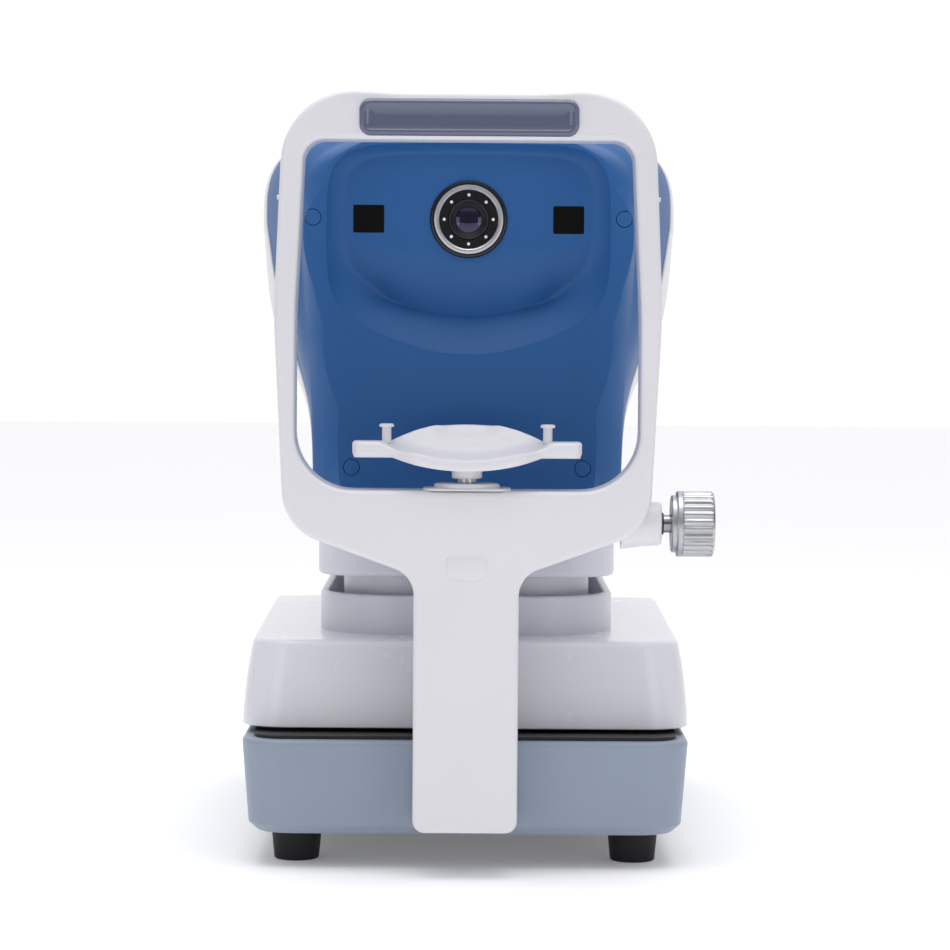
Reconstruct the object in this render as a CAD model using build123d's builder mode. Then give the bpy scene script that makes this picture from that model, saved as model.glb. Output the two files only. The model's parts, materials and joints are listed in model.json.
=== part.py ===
from build123d import *
import os
from math import atan, cos, pi, radians, sin, sqrt, tan

# Autorefractor: base on four feet with a face support and chin rest in front, an X carriage and
# a Y stage on rods, and a measuring head that rises on a screw. Millimetres, +Z up.
# The patient sits on the -Y side. Bench coordinates: x from the centre plane, y back from the
# front of the face support's leg, z up from the table. The row's origin is the middle of the
# footprint, so every plane below carries the same offset.

# ------------------------------------------------------------------ driving dimensions
DEPTH = 486.0  # front of the leg to the back of the lower case
KNOB_OVERHANG = 9.4  # how much further the knob reaches than the other side does
TRAY_OVERHANG = 9.0  # the chin tray in front of the leg
REAR_OVERHANG = 3.8  # the switch behind the lower case
ORIGIN_X = -KNOB_OVERHANG / 2
ORIGIN_Y = -(DEPTH + REAR_OVERHANG - TRAY_OVERHANG) / 2
RUN = 0.05  # radial clearance of a running fit

CASE_Z0 = 20.0
CASE_Z1 = 75.0
CASE_HALF = 130.0
CASE_FRONT = 34.0
CASE_WALL = 3.0
CASE_CORNER = 24.0
CASE_BEVEL = 5.0
FOOT_X = 99.0
FOOT_Y = (80.0, 440.0)

X_TRAVEL = 43.0  # each way from the middle
Y_TRAVEL = 20.0  # each way from the middle
LIFT_UP = 20.0
LIFT_DOWN = 10.0
CHIN_TRAVEL = 55.0
TARGET_TRAVEL = 12.0  # each way from the middle

X_RAIL_Y = (150.0, 370.0)
X_RAIL_Z = 54.0
X_RAIL_R = 6.0
Y_ROD_X = 45.0
Y_ROD_Z = 80.0
Y_ROD_R = 5.0
Y_BEARING_ENDS = (185.0, 335.0)
Y_BEARING_Y = (Y_BEARING_ENDS[0] + Y_TRAVEL, Y_BEARING_ENDS[1] - Y_TRAVEL)
CARRIAGE_Z = 65.0
CARRIAGE_HALF = 60.0
CARRIAGE_Y = (130.0, 383.0)  # clear of the printer with the stage fully forward

STAGE_Z0 = 78.5
DECK_Z = 130.0
REAR_DECK_Z = 125.0
DECK_STEP_Y = (392.0, 403.0)
STAGE_HALF = 131.5
STAGE_FRONT = 60.0
STAGE_REAR = 466.0
STAGE_WALL = 3.0
STAGE_PLATE_Z = 92.0
STAGE_PLATE_T = 4.0

NECK_HALF = 74.5
NECK_Y0 = 116.0
NECK_Y1 = 318.0
NECK_CORNER = 38.0
COLLAR_TOP = 153.3
NECK_HIDDEN = 15.3  # still inside the collar with the head fully up
NECK_Z0 = COLLAR_TOP - LIFT_UP - NECK_HIDDEN
COLLAR_HALF = 88.5
COLLAR_Y0 = 103.0
COLLAR_Y1 = 331.0
NECK_GAP = 5.0
LIFT_Y = 217.0
GUIDE_X = 45.0
GUIDE_R = 6.0
SCREW_R = 4.0

TRAY_Z0 = COLLAR_TOP + LIFT_DOWN + 1.7
TRAY_Z1 = 208.0
TRAY_HALF = 88.8
TRAY_Y0 = 100.0
TRAY_Y1 = 345.0
HEAD_FRONT = 75.0
HEAD_REAR = 388.0
HEAD_TOP = 438.0
HEAD_WALL = 3.0
LENS_Z = 376.5

ARCH_DEPTH = 34.0
ARCH_TOP = 445.0
BAR_Z = 221.0
LEG_HALF = 29.7
LEG_Z0 = 26.7
CHIN_Y = 15.0
KNOB_Z = 202.0
GEAR_MODULE = 1.0
PINION_TEETH = 14
RACK_OFFSET = 2.5
KNOB_Y = CHIN_Y + RACK_OFFSET + GEAR_MODULE * PINION_TEETH / 2

STICK_Y = 428.0
STICK_X = 30.0
PIVOT_Z = REAR_DECK_Z - 18
DOME_R = 26.0

PRINTER_X = -80.0
ROLL_Z = 98.0


def level(z):
    """A plane parallel to the table, in bench coordinates."""
    return Plane(origin=(ORIGIN_X, ORIGIN_Y, z))


def upright(y):
    """A plane facing the patient: local x is bench x, local y is z."""
    return Plane(origin=(ORIGIN_X, ORIGIN_Y + y, 0), x_dir=(1, 0, 0), z_dir=(0, -1, 0))


def sideways(x):
    """A plane facing +X: local x is bench y, local y is z."""
    return Plane(origin=(ORIGIN_X + x, ORIGIN_Y, 0), x_dir=(0, 1, 0), z_dir=(1, 0, 0))


BACK = -1.0  # an upright plane faces the patient, so this sends an extrusion to the back
os.makedirs("parts", exist_ok=True)

# ------------------------------------------------------------------ base
CASE_REAR = DEPTH
CASE_MID = (CASE_FRONT + CASE_REAR) / 2
CASE_LONG = CASE_REAR - CASE_FRONT
CASE_SLOPE = 4.2  # degrees that the sides lean in towards the table
CASE_LEDGE = 8.0  # wall and lean together, where the inside is cut out
WELL_X = CARRIAGE_HALF + X_TRAVEL + 5
WELL_Y = (CARRIAGE_Y[0] - 18, CARRIAGE_Y[1] + 18)
INLET_X = -70.0
INLET_Z = 47.0
INLET_BODY = (48.0, 28.0)
WELL_MID = sum(WELL_Y) / 2
WELL_LONG = WELL_Y[1] - WELL_Y[0]

with BuildPart() as base_lower_case:
    with BuildSketch(level(CASE_Z1)):
        with Locations((0, CASE_MID)):
            RectangleRounded(2 * CASE_HALF, CASE_LONG, CASE_CORNER)
    extrude(amount=-(CASE_Z1 - CASE_Z0), taper=CASE_SLOPE)
    chamfer(base_lower_case.faces().sort_by(Axis.Z)[0].edges(), CASE_BEVEL)
    fillet(base_lower_case.faces().sort_by(Axis.Z)[-1].edges(), 3)
    with BuildSketch(level(CASE_Z1 - CASE_WALL)):
        with Locations((0, CASE_MID)):
            RectangleRounded(2 * (CASE_HALF - CASE_LEDGE), CASE_LONG - 2 * CASE_LEDGE, CASE_CORNER - 6)
    extrude(amount=-(CASE_Z1 - CASE_Z0), mode=Mode.SUBTRACT)
    with BuildSketch(level(CASE_Z1)):
        with Locations((0, WELL_MID)):
            RectangleRounded(2 * WELL_X, WELL_LONG, 8)
    extrude(amount=-2 * CASE_WALL, mode=Mode.SUBTRACT)
    with BuildSketch(upright(CASE_REAR + 1)):
        with Locations((INLET_X, INLET_Z)):
            Rectangle(INLET_BODY[0] + 0.2, INLET_BODY[1] + 0.2)
    extrude(amount=25, mode=Mode.SUBTRACT)
base_lower_case.part.label = "base_lower_case"
export_step(base_lower_case.part, "parts/base_lower_case.step")

RAIL_BLOCK_X = 113.0
with BuildPart() as base_chassis:
    with BuildSketch(level(CASE_Z0)):
        with Locations((0, CASE_MID)):
            RectangleRounded(2 * CASE_HALF - 22, CASE_LONG - 22, CASE_CORNER - 8)
    extrude(amount=4)
    for rail_y in X_RAIL_Y:
        with BuildSketch(level(CASE_Z0 + 4)):
            with Locations((-RAIL_BLOCK_X, rail_y), (RAIL_BLOCK_X, rail_y)):
                Rectangle(10, 26)
        extrude(amount=X_RAIL_Z + 9 - CASE_Z0 - 4)
        with BuildSketch(sideways(-RAIL_BLOCK_X - 6)):
            with Locations((rail_y, X_RAIL_Z)):
                Circle(X_RAIL_R)
        extrude(amount=2 * RAIL_BLOCK_X + 12, mode=Mode.SUBTRACT)
base_chassis.part.label = "base_chassis"
export_step(base_chassis.part, "parts/base_chassis.step")

with BuildPart() as base_top_shroud:
    with BuildSketch(level(CASE_Z1)):
        with Locations((0, CASE_MID)):
            RectangleRounded(2 * CASE_HALF - 14, CASE_LONG - 14, CASE_CORNER - 7)
        with Locations((0, WELL_MID)):
            RectangleRounded(2 * WELL_X, WELL_LONG, 8, mode=Mode.SUBTRACT)
    extrude(amount=2)
base_top_shroud.part.label = "base_top_shroud"
export_step(base_top_shroud.part, "parts/base_top_shroud.step")


with BuildPart() as base_feet:
    with BuildSketch(level(CASE_Z0)):
        with Locations(*[(side * FOOT_X, foot_y) for side in (-1, 1) for foot_y in FOOT_Y]):
            Circle(15)
    extrude(amount=-CASE_Z0, taper=5.5)
    fillet(base_feet.edges().group_by(Axis.Z)[0], 1.5)
base_feet.part.label = "base_feet"
export_step(base_feet.part, "parts/base_feet.step")

with BuildPart() as x_rails:
    with BuildSketch(sideways(-RAIL_BLOCK_X - 5)):
        with Locations(*[(rail_y, X_RAIL_Z) for rail_y in X_RAIL_Y]):
            Circle(X_RAIL_R)
    extrude(amount=2 * RAIL_BLOCK_X + 10)
x_rails.part.label = "x_rails"
export_step(x_rails.part, "parts/x_rails.step")

with BuildPart() as power_supply:
    with BuildSketch(level(CASE_Z0 + 4)):
        with Locations((0, 260)):
            Rectangle(96, 150)
    extrude(amount=32)
    with BuildSketch(level(CASE_Z0 + 36)):
        with Locations((0, 260)):
            with GridLocations(0, 12, 1, 9):
                SlotOverall(70, 4)
    extrude(amount=-1.5, mode=Mode.SUBTRACT)
power_supply.part.label = "power_supply"
export_step(power_supply.part, "parts/power_supply.step")

# The inlet fills the opening in the case's rear wall: a socket on the left, a switch on the right.
ROCKER_X = INLET_X + 14
SOCKET_X = INLET_X - 9
with BuildPart() as mains_inlet:
    with BuildSketch(upright(CASE_REAR)):
        with Locations((INLET_X, INLET_Z)):
            RectangleRounded(54, 34, 3)
    extrude(amount=-2)
    with BuildSketch(upright(CASE_REAR)):
        with Locations((INLET_X, INLET_Z)):
            Rectangle(*INLET_BODY)
    extrude(amount=20)
    with BuildSketch(upright(CASE_REAR + 2)):
        with Locations((SOCKET_X, INLET_Z)):
            RectangleRounded(25, 19, 4)
        with Locations((ROCKER_X, INLET_Z)):
            Rectangle(13, 20)
    extrude(amount=17, mode=Mode.SUBTRACT)
    with BuildSketch(upright(CASE_REAR - 15)):
        with Locations((SOCKET_X, INLET_Z + 3), (SOCKET_X - 7, INLET_Z - 3), (SOCKET_X + 7, INLET_Z - 3)):
            Rectangle(2, 5)
    extrude(amount=-13)
mains_inlet.part.label = "mains_inlet"
export_step(mains_inlet.part, "parts/mains_inlet.step")

ROCKER_PIVOT_Y = CASE_REAR - 4
ROCKER_HALF = 8.0
with BuildPart() as power_rocker:
    with BuildSketch(sideways(ROCKER_X - 6)):
        with BuildLine():
            Polyline(
                (ROCKER_PIVOT_Y - 5, INLET_Z - 6),
                (ROCKER_PIVOT_Y + 5.6, INLET_Z - ROCKER_HALF),
                (ROCKER_PIVOT_Y + 5.2, INLET_Z),
                (CASE_REAR + REAR_OVERHANG, INLET_Z + ROCKER_HALF),
                (ROCKER_PIVOT_Y - 5, INLET_Z + 6),
                close=True,
            )
        make_face()
    extrude(amount=12)
power_rocker.part.label = "power_rocker"
export_step(power_rocker.part, "parts/power_rocker.step")

# ------------------------------------------------------------------ face support
ARCH_HALF = 109.5
OPEN_HALF = 97.5
OPEN_TOP = 417.5
LEG_CORE_HALF = 19.0

with BuildPart() as face_support:
    with BuildSketch(upright(0)):
        with BuildLine():
            FilletPolyline(
                (0, LEG_Z0),
                (LEG_HALF, LEG_Z0),
                (LEG_HALF, 172.7),
                (103.5, 199.3),
                (ARCH_HALF, 320),
                (104.2, ARCH_TOP + 1.5),
                (40, ARCH_TOP - 2),
                (0, ARCH_TOP - 2),
                radius=(7, 16, 30, 300, 42, 200),
            )
            mirror(about=Plane.YZ)
        make_face()
        with BuildLine():
            FilletPolyline(
                (0, BAR_Z),
                (OPEN_HALF, BAR_Z),
                (OPEN_HALF, 320),
                (92.6, OPEN_TOP),
                (0, OPEN_TOP),
                radius=(33, 400, 12),
            )
            mirror(about=Plane.YZ)
        make_face(mode=Mode.SUBTRACT)
    extrude(amount=BACK * ARCH_DEPTH)
    fillet(face_support.faces().sort_by(Axis.Y)[0].edges(), 3.5)
    fillet(face_support.faces().sort_by(Axis.Y)[-1].edges(), 2.0)
    # hollow leg for the chin post, and the way through for the knob's shaft
    with BuildSketch(upright(CHIN_Y - 8)):
        with Locations((0, 134)):
            Rectangle(2 * LEG_CORE_HALF, 160)
    extrude(amount=BACK * 26, mode=Mode.SUBTRACT)
    with BuildSketch(level(BAR_Z + 1)):
        with Locations((0, CHIN_Y)):
            Circle(6)
    extrude(amount=-12, mode=Mode.SUBTRACT)
    with BuildSketch(sideways(LEG_CORE_HALF - 2)):
        with Locations((KNOB_Y, KNOB_Z)):
            Circle(6.5)
    extrude(amount=110, mode=Mode.SUBTRACT)
face_support.part.label = "face_support"
export_step(face_support.part, "parts/face_support.step")

# The pad sits in a pocket-free seat on the brow bar's front and stands a little proud.
PAD_HALF = 62.0
PAD_Z = 430.5
PAD_TALL = 20.5
with BuildPart() as forehead_pad:
    with BuildSketch(upright(0)):
        with Locations((0, PAD_Z)):
            RectangleRounded(2 * PAD_HALF, PAD_TALL, 7)
    extrude(amount=3)
    fillet(forehead_pad.faces().sort_by(Axis.Y)[0].edges(), 2.2)
forehead_pad.part.label = "forehead_pad"
export_step(forehead_pad.part, "parts/forehead_pad.step")

with BuildPart() as eye_level_marks:
    for side in (-1, 1):
        with BuildSketch(sideways(side * 106.2)):
            with Locations((17, 386)):
                SlotOverall(12, 2.4)
        extrude(amount=side * 2.2)
    add(face_support.part, mode=Mode.SUBTRACT)
eye_level_marks.part.label = "eye_level_marks"
export_step(eye_level_marks.part, "parts/eye_level_marks.step")

LEG_BOLT_Z = (38.0, 62.0)
with BuildPart() as leg_bolts:
    for bolt_z in LEG_BOLT_Z:
        with BuildSketch(upright(CASE_FRONT + 8)):
            with Locations((-12, bolt_z), (12, bolt_z)):
                RegularPolygon(5.6, 6)
        extrude(amount=BACK * 5)
leg_bolts.part.label = "leg_bolts"
export_step(leg_bolts.part, "parts/leg_bolts.step")

BOSS_X0 = 107.0
BOSS_X1 = 110.9
with BuildPart() as chin_knob_boss:
    with BuildSketch(sideways(BOSS_X0 - 9.0)):
        with Locations((KNOB_Y, KNOB_Z)):
            Circle(6.5)
    extrude(amount=9)
    with BuildSketch(sideways(BOSS_X0 - 4)):
        with Locations((KNOB_Y, KNOB_Z)):
            Circle(12.4)
    extrude(amount=BOSS_X1 - BOSS_X0 + 4)
    fillet(chin_knob_boss.edges().group_by(Axis.X)[-1], 1.5)
    with BuildSketch(sideways(BOSS_X0 - 10)):
        with Locations((KNOB_Y, KNOB_Z)):
            Circle(5.2 + RUN)
    extrude(amount=20, mode=Mode.SUBTRACT)
    add(face_support.part, mode=Mode.SUBTRACT)
chin_knob_boss.part.label = "chin_knob_boss"
export_step(chin_knob_boss.part, "parts/chin_knob_boss.step")

with BuildPart() as knob_bush:
    with BuildSketch(sideways(BOSS_X1)):
        with Locations((KNOB_Y, KNOB_Z)):
            Circle(6.2)
            Circle(5.2 + RUN, mode=Mode.SUBTRACT)
    extrude(amount=1.4)
knob_bush.part.label = "knob_bush"
export_step(knob_bush.part, "parts/knob_bush.step")

with BuildPart() as chin_base_disc:
    with BuildSketch(level(BAR_Z)):
        with Locations((0, CHIN_Y)):
            RectangleRounded(50, 29, 8)
    extrude(amount=1.2)
    with BuildSketch(level(BAR_Z + 1.2)):
        with Locations((0, CHIN_Y)):
            RectangleRounded(38, 28, 13.5)
    extrude(amount=2.6, taper=20)
    with BuildSketch(level(BAR_Z)):
        with Locations((0, CHIN_Y)):
            Circle(4 + RUN)
    extrude(amount=6, mode=Mode.SUBTRACT)
chin_base_disc.part.label = "chin_base_disc"
export_step(chin_base_disc.part, "parts/chin_base_disc.step")

# ------------------------------------------------------------------ chin rest and its lift
TRAY_TOP = 247.4
TRAY_EDGE = 239.4
BOWL_LOW = 230.7
BOWL_HIGH = 257.6
CHIN_HALF = 65.0
BOWL_HALF = 43.0
BOWL_Y0 = -9.0
BOWL_Y1 = 38.0
WING_DEEP = 24.0
BOWL_FLOOR = 4.5
HOLLOW_R = 32.0
HOLLOW_WIDE_R = 107.0
POST_R = 4.0
with BuildPart() as chin_tray:
    with BuildSketch(upright(BOWL_Y0)):
        with BuildLine():
            Polyline(
                (BOWL_HALF, TRAY_TOP),
                (CHIN_HALF, TRAY_TOP),
                (CHIN_HALF, TRAY_EDGE),
                (BOWL_HALF - 3, TRAY_EDGE),
            )
            ThreePointArc((BOWL_HALF - 3, TRAY_EDGE), (0, BOWL_LOW), (3 - BOWL_HALF, TRAY_EDGE))
            Polyline(
                (3 - BOWL_HALF, TRAY_EDGE),
                (-CHIN_HALF, TRAY_EDGE),
                (-CHIN_HALF, TRAY_TOP),
                (-BOWL_HALF, TRAY_TOP),
            )
            ThreePointArc((-BOWL_HALF, TRAY_TOP), (0, BOWL_HIGH), (BOWL_HALF, TRAY_TOP))
        make_face()
    extrude(amount=BACK * (BOWL_Y1 - BOWL_Y0))
    with BuildSketch(level(BOWL_LOW - 1)):
        with Locations((0, (BOWL_Y0 + BOWL_Y1) / 2)):
            RectangleRounded(2 * BOWL_HALF + 4, BOWL_Y1 - BOWL_Y0, 19)
        with Locations((0, CHIN_Y)):
            RectangleRounded(2 * CHIN_HALF, WING_DEEP, 5)
    extrude(amount=40, mode=Mode.INTERSECT)
    # the hollow for the chin is part of a ring, low in front and high behind
    with BuildSketch(sideways(0)):
        with Locations((5, BOWL_LOW + BOWL_FLOOR + HOLLOW_R)):
            Circle(HOLLOW_R)
    revolve(
        axis=Axis((ORIGIN_X, ORIGIN_Y, BOWL_LOW + BOWL_FLOOR + HOLLOW_WIDE_R), (0, 1, 0)),
        revolution_arc=360,
        mode=Mode.SUBTRACT,
    )
    with BuildSketch(level(BOWL_LOW + 1)):
        with Locations((0, CHIN_Y)):
            Circle(8.7)
    extrude(amount=-4.2)
chin_tray.part.label = "chin_tray"
export_step(chin_tray.part, "parts/chin_tray.step")

PIN_X = 45.7
with BuildPart() as paper_pins:
    with BuildSketch(level(TRAY_TOP)):
        with Locations((-PIN_X, CHIN_Y), (PIN_X, CHIN_Y)):
            Circle(2.6)
    extrude(amount=9)
    with BuildSketch(level(TRAY_TOP + 9)):
        with Locations((-PIN_X, CHIN_Y), (PIN_X, CHIN_Y)):
            Circle(4.2)
    extrude(amount=2)
paper_pins.part.label = "paper_pins"
export_step(paper_pins.part, "parts/paper_pins.step")

# A rack is cut in the back of the chin post; the pinion on the knob's shaft drives it.
TOOTH_PITCH = pi * GEAR_MODULE
RACK_LOW = KNOB_Z - CHIN_TRAVEL - 12
POST_TOP = BOWL_LOW - 3.2
BACKLASH = 0.25
ADDENDUM = 0.85 * GEAR_MODULE
DEDENDUM = 1.15 * GEAR_MODULE
FLANK = tan(radians(20))
RACK_GAPS = range(-19, 4)
HALF_GAP = TOOTH_PITCH / 4 + BACKLASH / 2
with BuildPart() as chin_post:
    with BuildSketch(level(RACK_LOW)):
        with Locations((0, CHIN_Y)):
            Circle(POST_R)
    extrude(amount=POST_TOP - RACK_LOW)
    with BuildSketch(level(POST_TOP - 2.2)):
        with Locations((0, CHIN_Y)):
            Circle(5.5)
    extrude(amount=2.2)
    with BuildSketch(level(RACK_LOW)):
        with Locations((0, CHIN_Y + RACK_OFFSET + ADDENDUM + 2)):
            Rectangle(12, 4)
    extrude(amount=KNOB_Z + 14 - RACK_LOW, mode=Mode.SUBTRACT)
    with BuildSketch(sideways(-POST_R - 1)):
        with Locations(*[(CHIN_Y + RACK_OFFSET, KNOB_Z + i * TOOTH_PITCH) for i in RACK_GAPS]):
            Polygon(
                (ADDENDUM + 0.5, -HALF_GAP - FLANK * (ADDENDUM + 0.5)),
                (ADDENDUM + 0.5, HALF_GAP + FLANK * (ADDENDUM + 0.5)),
                (-DEDENDUM, HALF_GAP - FLANK * DEDENDUM),
                (-DEDENDUM, -HALF_GAP + FLANK * DEDENDUM),
                align=None,
            )
    extrude(amount=2 * POST_R + 2, mode=Mode.SUBTRACT)
chin_post.part.label = "chin_post"
export_step(chin_post.part, "parts/chin_post.step")

PITCH_R = GEAR_MODULE * PINION_TEETH / 2
BASE_R = PITCH_R * cos(radians(20))
PINION_HALF = 6.0
THIN_SHAFT_R = 3.0
SHAFT_R = 5.2
SHAFT_STEP = 14.0
SHAFT_X1 = 126.0


def tooth_half_angle(radius):
    """Half the angle that an involute tooth fills at a radius."""
    roll = sqrt(max(radius / BASE_R, 1) ** 2 - 1)
    pitch_spread = tan(radians(20)) - radians(20)
    return (TOOTH_PITCH / 4 - BACKLASH / 2) / PITCH_R + pitch_spread - (roll - atan(roll))


def flank_point(radius, side):
    """A point on a tooth's flank; the tooth points along local +x."""
    angle = side * tooth_half_angle(radius)
    return (radius * cos(angle), radius * sin(angle))


ROOT_R = PITCH_R - DEDENDUM
TIP_R = PITCH_R + ADDENDUM
FLANK_RADII = (ROOT_R, BASE_R, PITCH_R, TIP_R)
with BuildPart() as lift_pinion:
    with BuildSketch(sideways(-PINION_HALF)):
        with Locations((KNOB_Y, KNOB_Z)):
            Circle(ROOT_R + 0.05)
            with PolarLocations(0, PINION_TEETH):
                Polygon(
                    *[flank_point(r, -1) for r in FLANK_RADII],
                    *[flank_point(r, 1) for r in reversed(FLANK_RADII)],
                    align=None,
                )
            Circle(THIN_SHAFT_R, mode=Mode.SUBTRACT)
    extrude(amount=2 * PINION_HALF)
lift_pinion.part.label = "lift_pinion"
export_step(lift_pinion.part, "parts/lift_pinion.step")

with BuildPart() as knob_shaft:
    with BuildSketch(sideways(-PINION_HALF - 2)):
        with Locations((KNOB_Y, KNOB_Z)):
            Circle(THIN_SHAFT_R)
    extrude(amount=SHAFT_STEP + PINION_HALF + 2)
    with BuildSketch(sideways(SHAFT_STEP)):
        with Locations((KNOB_Y, KNOB_Z)):
            Circle(SHAFT_R)
    extrude(amount=SHAFT_X1 - SHAFT_STEP)
knob_shaft.part.label = "knob_shaft"
export_step(knob_shaft.part, "parts/knob_shaft.step")

KNOB_X0 = 116.6
KNOB_X1 = 140.9
KNOB_R = 18.8
KNOB_RIBS = 26
with BuildPart() as chin_knob:
    with BuildSketch(sideways(KNOB_X0)):
        with Locations((KNOB_Y, KNOB_Z)):
            Circle(16.4)
    extrude(amount=4)
    with BuildSketch(sideways(KNOB_X0 + 3)):
        with Locations((KNOB_Y, KNOB_Z)):
            Circle(KNOB_R)
    extrude(amount=KNOB_X1 - KNOB_X0 - 3)
    chamfer(chin_knob.edges().group_by(Axis.X)[-1], 1.2)
    with BuildSketch(sideways(KNOB_X0 + 6.6)):
        with Locations((KNOB_Y, KNOB_Z)):
            with PolarLocations(KNOB_R + 0.4, KNOB_RIBS):
                Circle(1.3)
    extrude(amount=16.4, mode=Mode.SUBTRACT)
    with BuildSketch(sideways(KNOB_X0)):
        with Locations((KNOB_Y, KNOB_Z)):
            Circle(SHAFT_R)
    extrude(amount=SHAFT_X1 - KNOB_X0, mode=Mode.SUBTRACT)
chin_knob.part.label = "chin_knob"
export_step(chin_knob.part, "parts/chin_knob.step")

# ------------------------------------------------------------------ X carriage
PLATE_T = 5.0
X_BEARING_X = 42.0
ROD_BLOCK_Y = (141.0, 373.0)
ROD_BLOCK_DEEP = 12.0
with BuildPart() as x_carriage_plate:
    with BuildSketch(level(CARRIAGE_Z)):
        with Locations((0, sum(CARRIAGE_Y) / 2)):
            RectangleRounded(2 * CARRIAGE_HALF, CARRIAGE_Y[1] - CARRIAGE_Y[0], 6)
            Rectangle(50, 120, mode=Mode.SUBTRACT)
    extrude(amount=PLATE_T)
    with BuildSketch(level(CARRIAGE_Z + PLATE_T)):
        with Locations(*[(side * Y_ROD_X, block_y) for side in (-1, 1) for block_y in ROD_BLOCK_Y]):
            Rectangle(22, ROD_BLOCK_DEEP)
    extrude(amount=Y_ROD_Z + 9 - CARRIAGE_Z - PLATE_T)
    with BuildSketch(upright(CARRIAGE_Y[0])):
        with Locations((-Y_ROD_X, Y_ROD_Z), (Y_ROD_X, Y_ROD_Z)):
            Circle(Y_ROD_R)
    extrude(amount=BACK * (CARRIAGE_Y[1] - CARRIAGE_Y[0]), mode=Mode.SUBTRACT)
x_carriage_plate.part.label = "x_carriage_plate"
export_step(x_carriage_plate.part, "parts/x_carriage_plate.step")

with BuildPart() as x_bearing_blocks:
    with BuildSketch(level(CARRIAGE_Z)):
        with Locations(*[(side * X_BEARING_X, rail_y) for side in (-1, 1) for rail_y in X_RAIL_Y]):
            Rectangle(30, 26)
    extrude(amount=-22)
    with BuildSketch(sideways(-X_BEARING_X - 16)):
        with Locations(*[(rail_y, X_RAIL_Z) for rail_y in X_RAIL_Y]):
            Circle(X_RAIL_R + RUN)
    extrude(amount=2 * X_BEARING_X + 32, mode=Mode.SUBTRACT)
x_bearing_blocks.part.label = "x_bearing_blocks"
export_step(x_bearing_blocks.part, "parts/x_bearing_blocks.step")

with BuildPart() as y_rods:
    with BuildSketch(upright(ROD_BLOCK_Y[0] - 6)):
        with Locations((-Y_ROD_X, Y_ROD_Z), (Y_ROD_X, Y_ROD_Z)):
            Circle(Y_ROD_R)
    extrude(amount=BACK * (ROD_BLOCK_Y[1] - ROD_BLOCK_Y[0] + 12))
y_rods.part.label = "y_rods"
export_step(y_rods.part, "parts/y_rods.step")

# ------------------------------------------------------------------ stage
PLATE_TOP = STAGE_PLATE_Z + STAGE_PLATE_T
BEARING_TALL = 20.0
NECK_MID = (NECK_Y0 + NECK_Y1) / 2
NECK_LONG = NECK_Y1 - NECK_Y0
DOME_HOLE_R = 22.0
PRINTER_WIDE = 66.0
PRINTER_LONG = 48.0
LOCK_X = 95.0
LOCK_Z = 106.0

with BuildPart() as y_bearing_blocks:
    with BuildSketch(level(STAGE_PLATE_Z)):
        with Locations(*[(side * Y_ROD_X, bearing_y) for side in (-1, 1) for bearing_y in Y_BEARING_Y]):
            Rectangle(24, 30)
    extrude(amount=-BEARING_TALL)
    with BuildSketch(upright(Y_BEARING_Y[0] - 16)):
        with Locations((-Y_ROD_X, Y_ROD_Z), (Y_ROD_X, Y_ROD_Z)):
            Circle(Y_ROD_R + RUN)
    extrude(amount=BACK * (Y_BEARING_Y[1] - Y_BEARING_Y[0] + 32), mode=Mode.SUBTRACT)
y_bearing_blocks.part.label = "y_bearing_blocks"
export_step(y_bearing_blocks.part, "parts/y_bearing_blocks.step")

GIMBAL_POST_X = 17.0
with BuildPart() as stage_plate:
    with BuildSketch(level(STAGE_PLATE_Z)):
        with Locations((0, 239)):
            RectangleRounded(216, 310, 10)
        with Locations((STICK_X, 424)):
            Rectangle(60, 62)
        with Locations((-GUIDE_X, LIFT_Y), (GUIDE_X, LIFT_Y)):
            Circle(GUIDE_R, mode=Mode.SUBTRACT)
    extrude(amount=STAGE_PLATE_T)
    with BuildSketch(level(PLATE_TOP)):
        with Locations((STICK_X - GIMBAL_POST_X, STICK_Y), (STICK_X + GIMBAL_POST_X, STICK_Y)):
            Rectangle(4, 9)
    extrude(amount=PIVOT_Z + 4 - PLATE_TOP)
    with BuildSketch(sideways(STICK_X - 30)):
        with Locations((STICK_Y, PIVOT_Z)):
            Circle(2 + RUN)
    extrude(amount=60, mode=Mode.SUBTRACT)
    with BuildSketch(level(PLATE_TOP)):
        with Locations((-95, 100), (95, 100), (-95, 380), (95, 380)):
            Circle(6)
    extrude(amount=DECK_Z - STAGE_WALL - PLATE_TOP)
stage_plate.part.label = "stage_plate"
export_step(stage_plate.part, "parts/stage_plate.step")


def stage_section(z, half_front, half_rear, front, rear, corner):
    """A rounded outline of the stage cover at one height."""
    with BuildSketch(level(z)) as section:
        with BuildLine():
            Polyline(
                (-half_front, front),
                (half_front, front),
                (half_rear, rear),
                (-half_rear, rear),
                close=True,
            )
        make_face()
        fillet(section.vertices(), corner)
    return section.sketch


def deck_step(drop):
    """The wedge of space above the lower rear deck, seen from the side."""
    front, rear = DECK_STEP_Y
    with BuildSketch(sideways(-STAGE_HALF - 5)) as step:
        Polygon(
            (front - drop / 2, DECK_Z - drop),
            (rear - drop / 2, REAR_DECK_Z - drop),
            (STAGE_REAR + 5, REAR_DECK_Z - drop),
            (STAGE_REAR + 5, DECK_Z + 5),
            (front - drop / 2, DECK_Z + 5),
            align=None,
        )
    return step.sketch


with BuildPart() as stage_cavity:
    loft(
        [
            stage_section(STAGE_Z0 - 1, STAGE_HALF - 3, STAGE_HALF - 3, STAGE_FRONT + 3, STAGE_REAR - 3, 23),
            stage_section(DECK_Z - STAGE_WALL, 122.0, 127.5, STAGE_FRONT + 9, STAGE_REAR - 7, 23),
        ]
    )
    extrude(deck_step(STAGE_WALL), amount=2 * STAGE_HALF + 10, mode=Mode.SUBTRACT)

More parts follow.
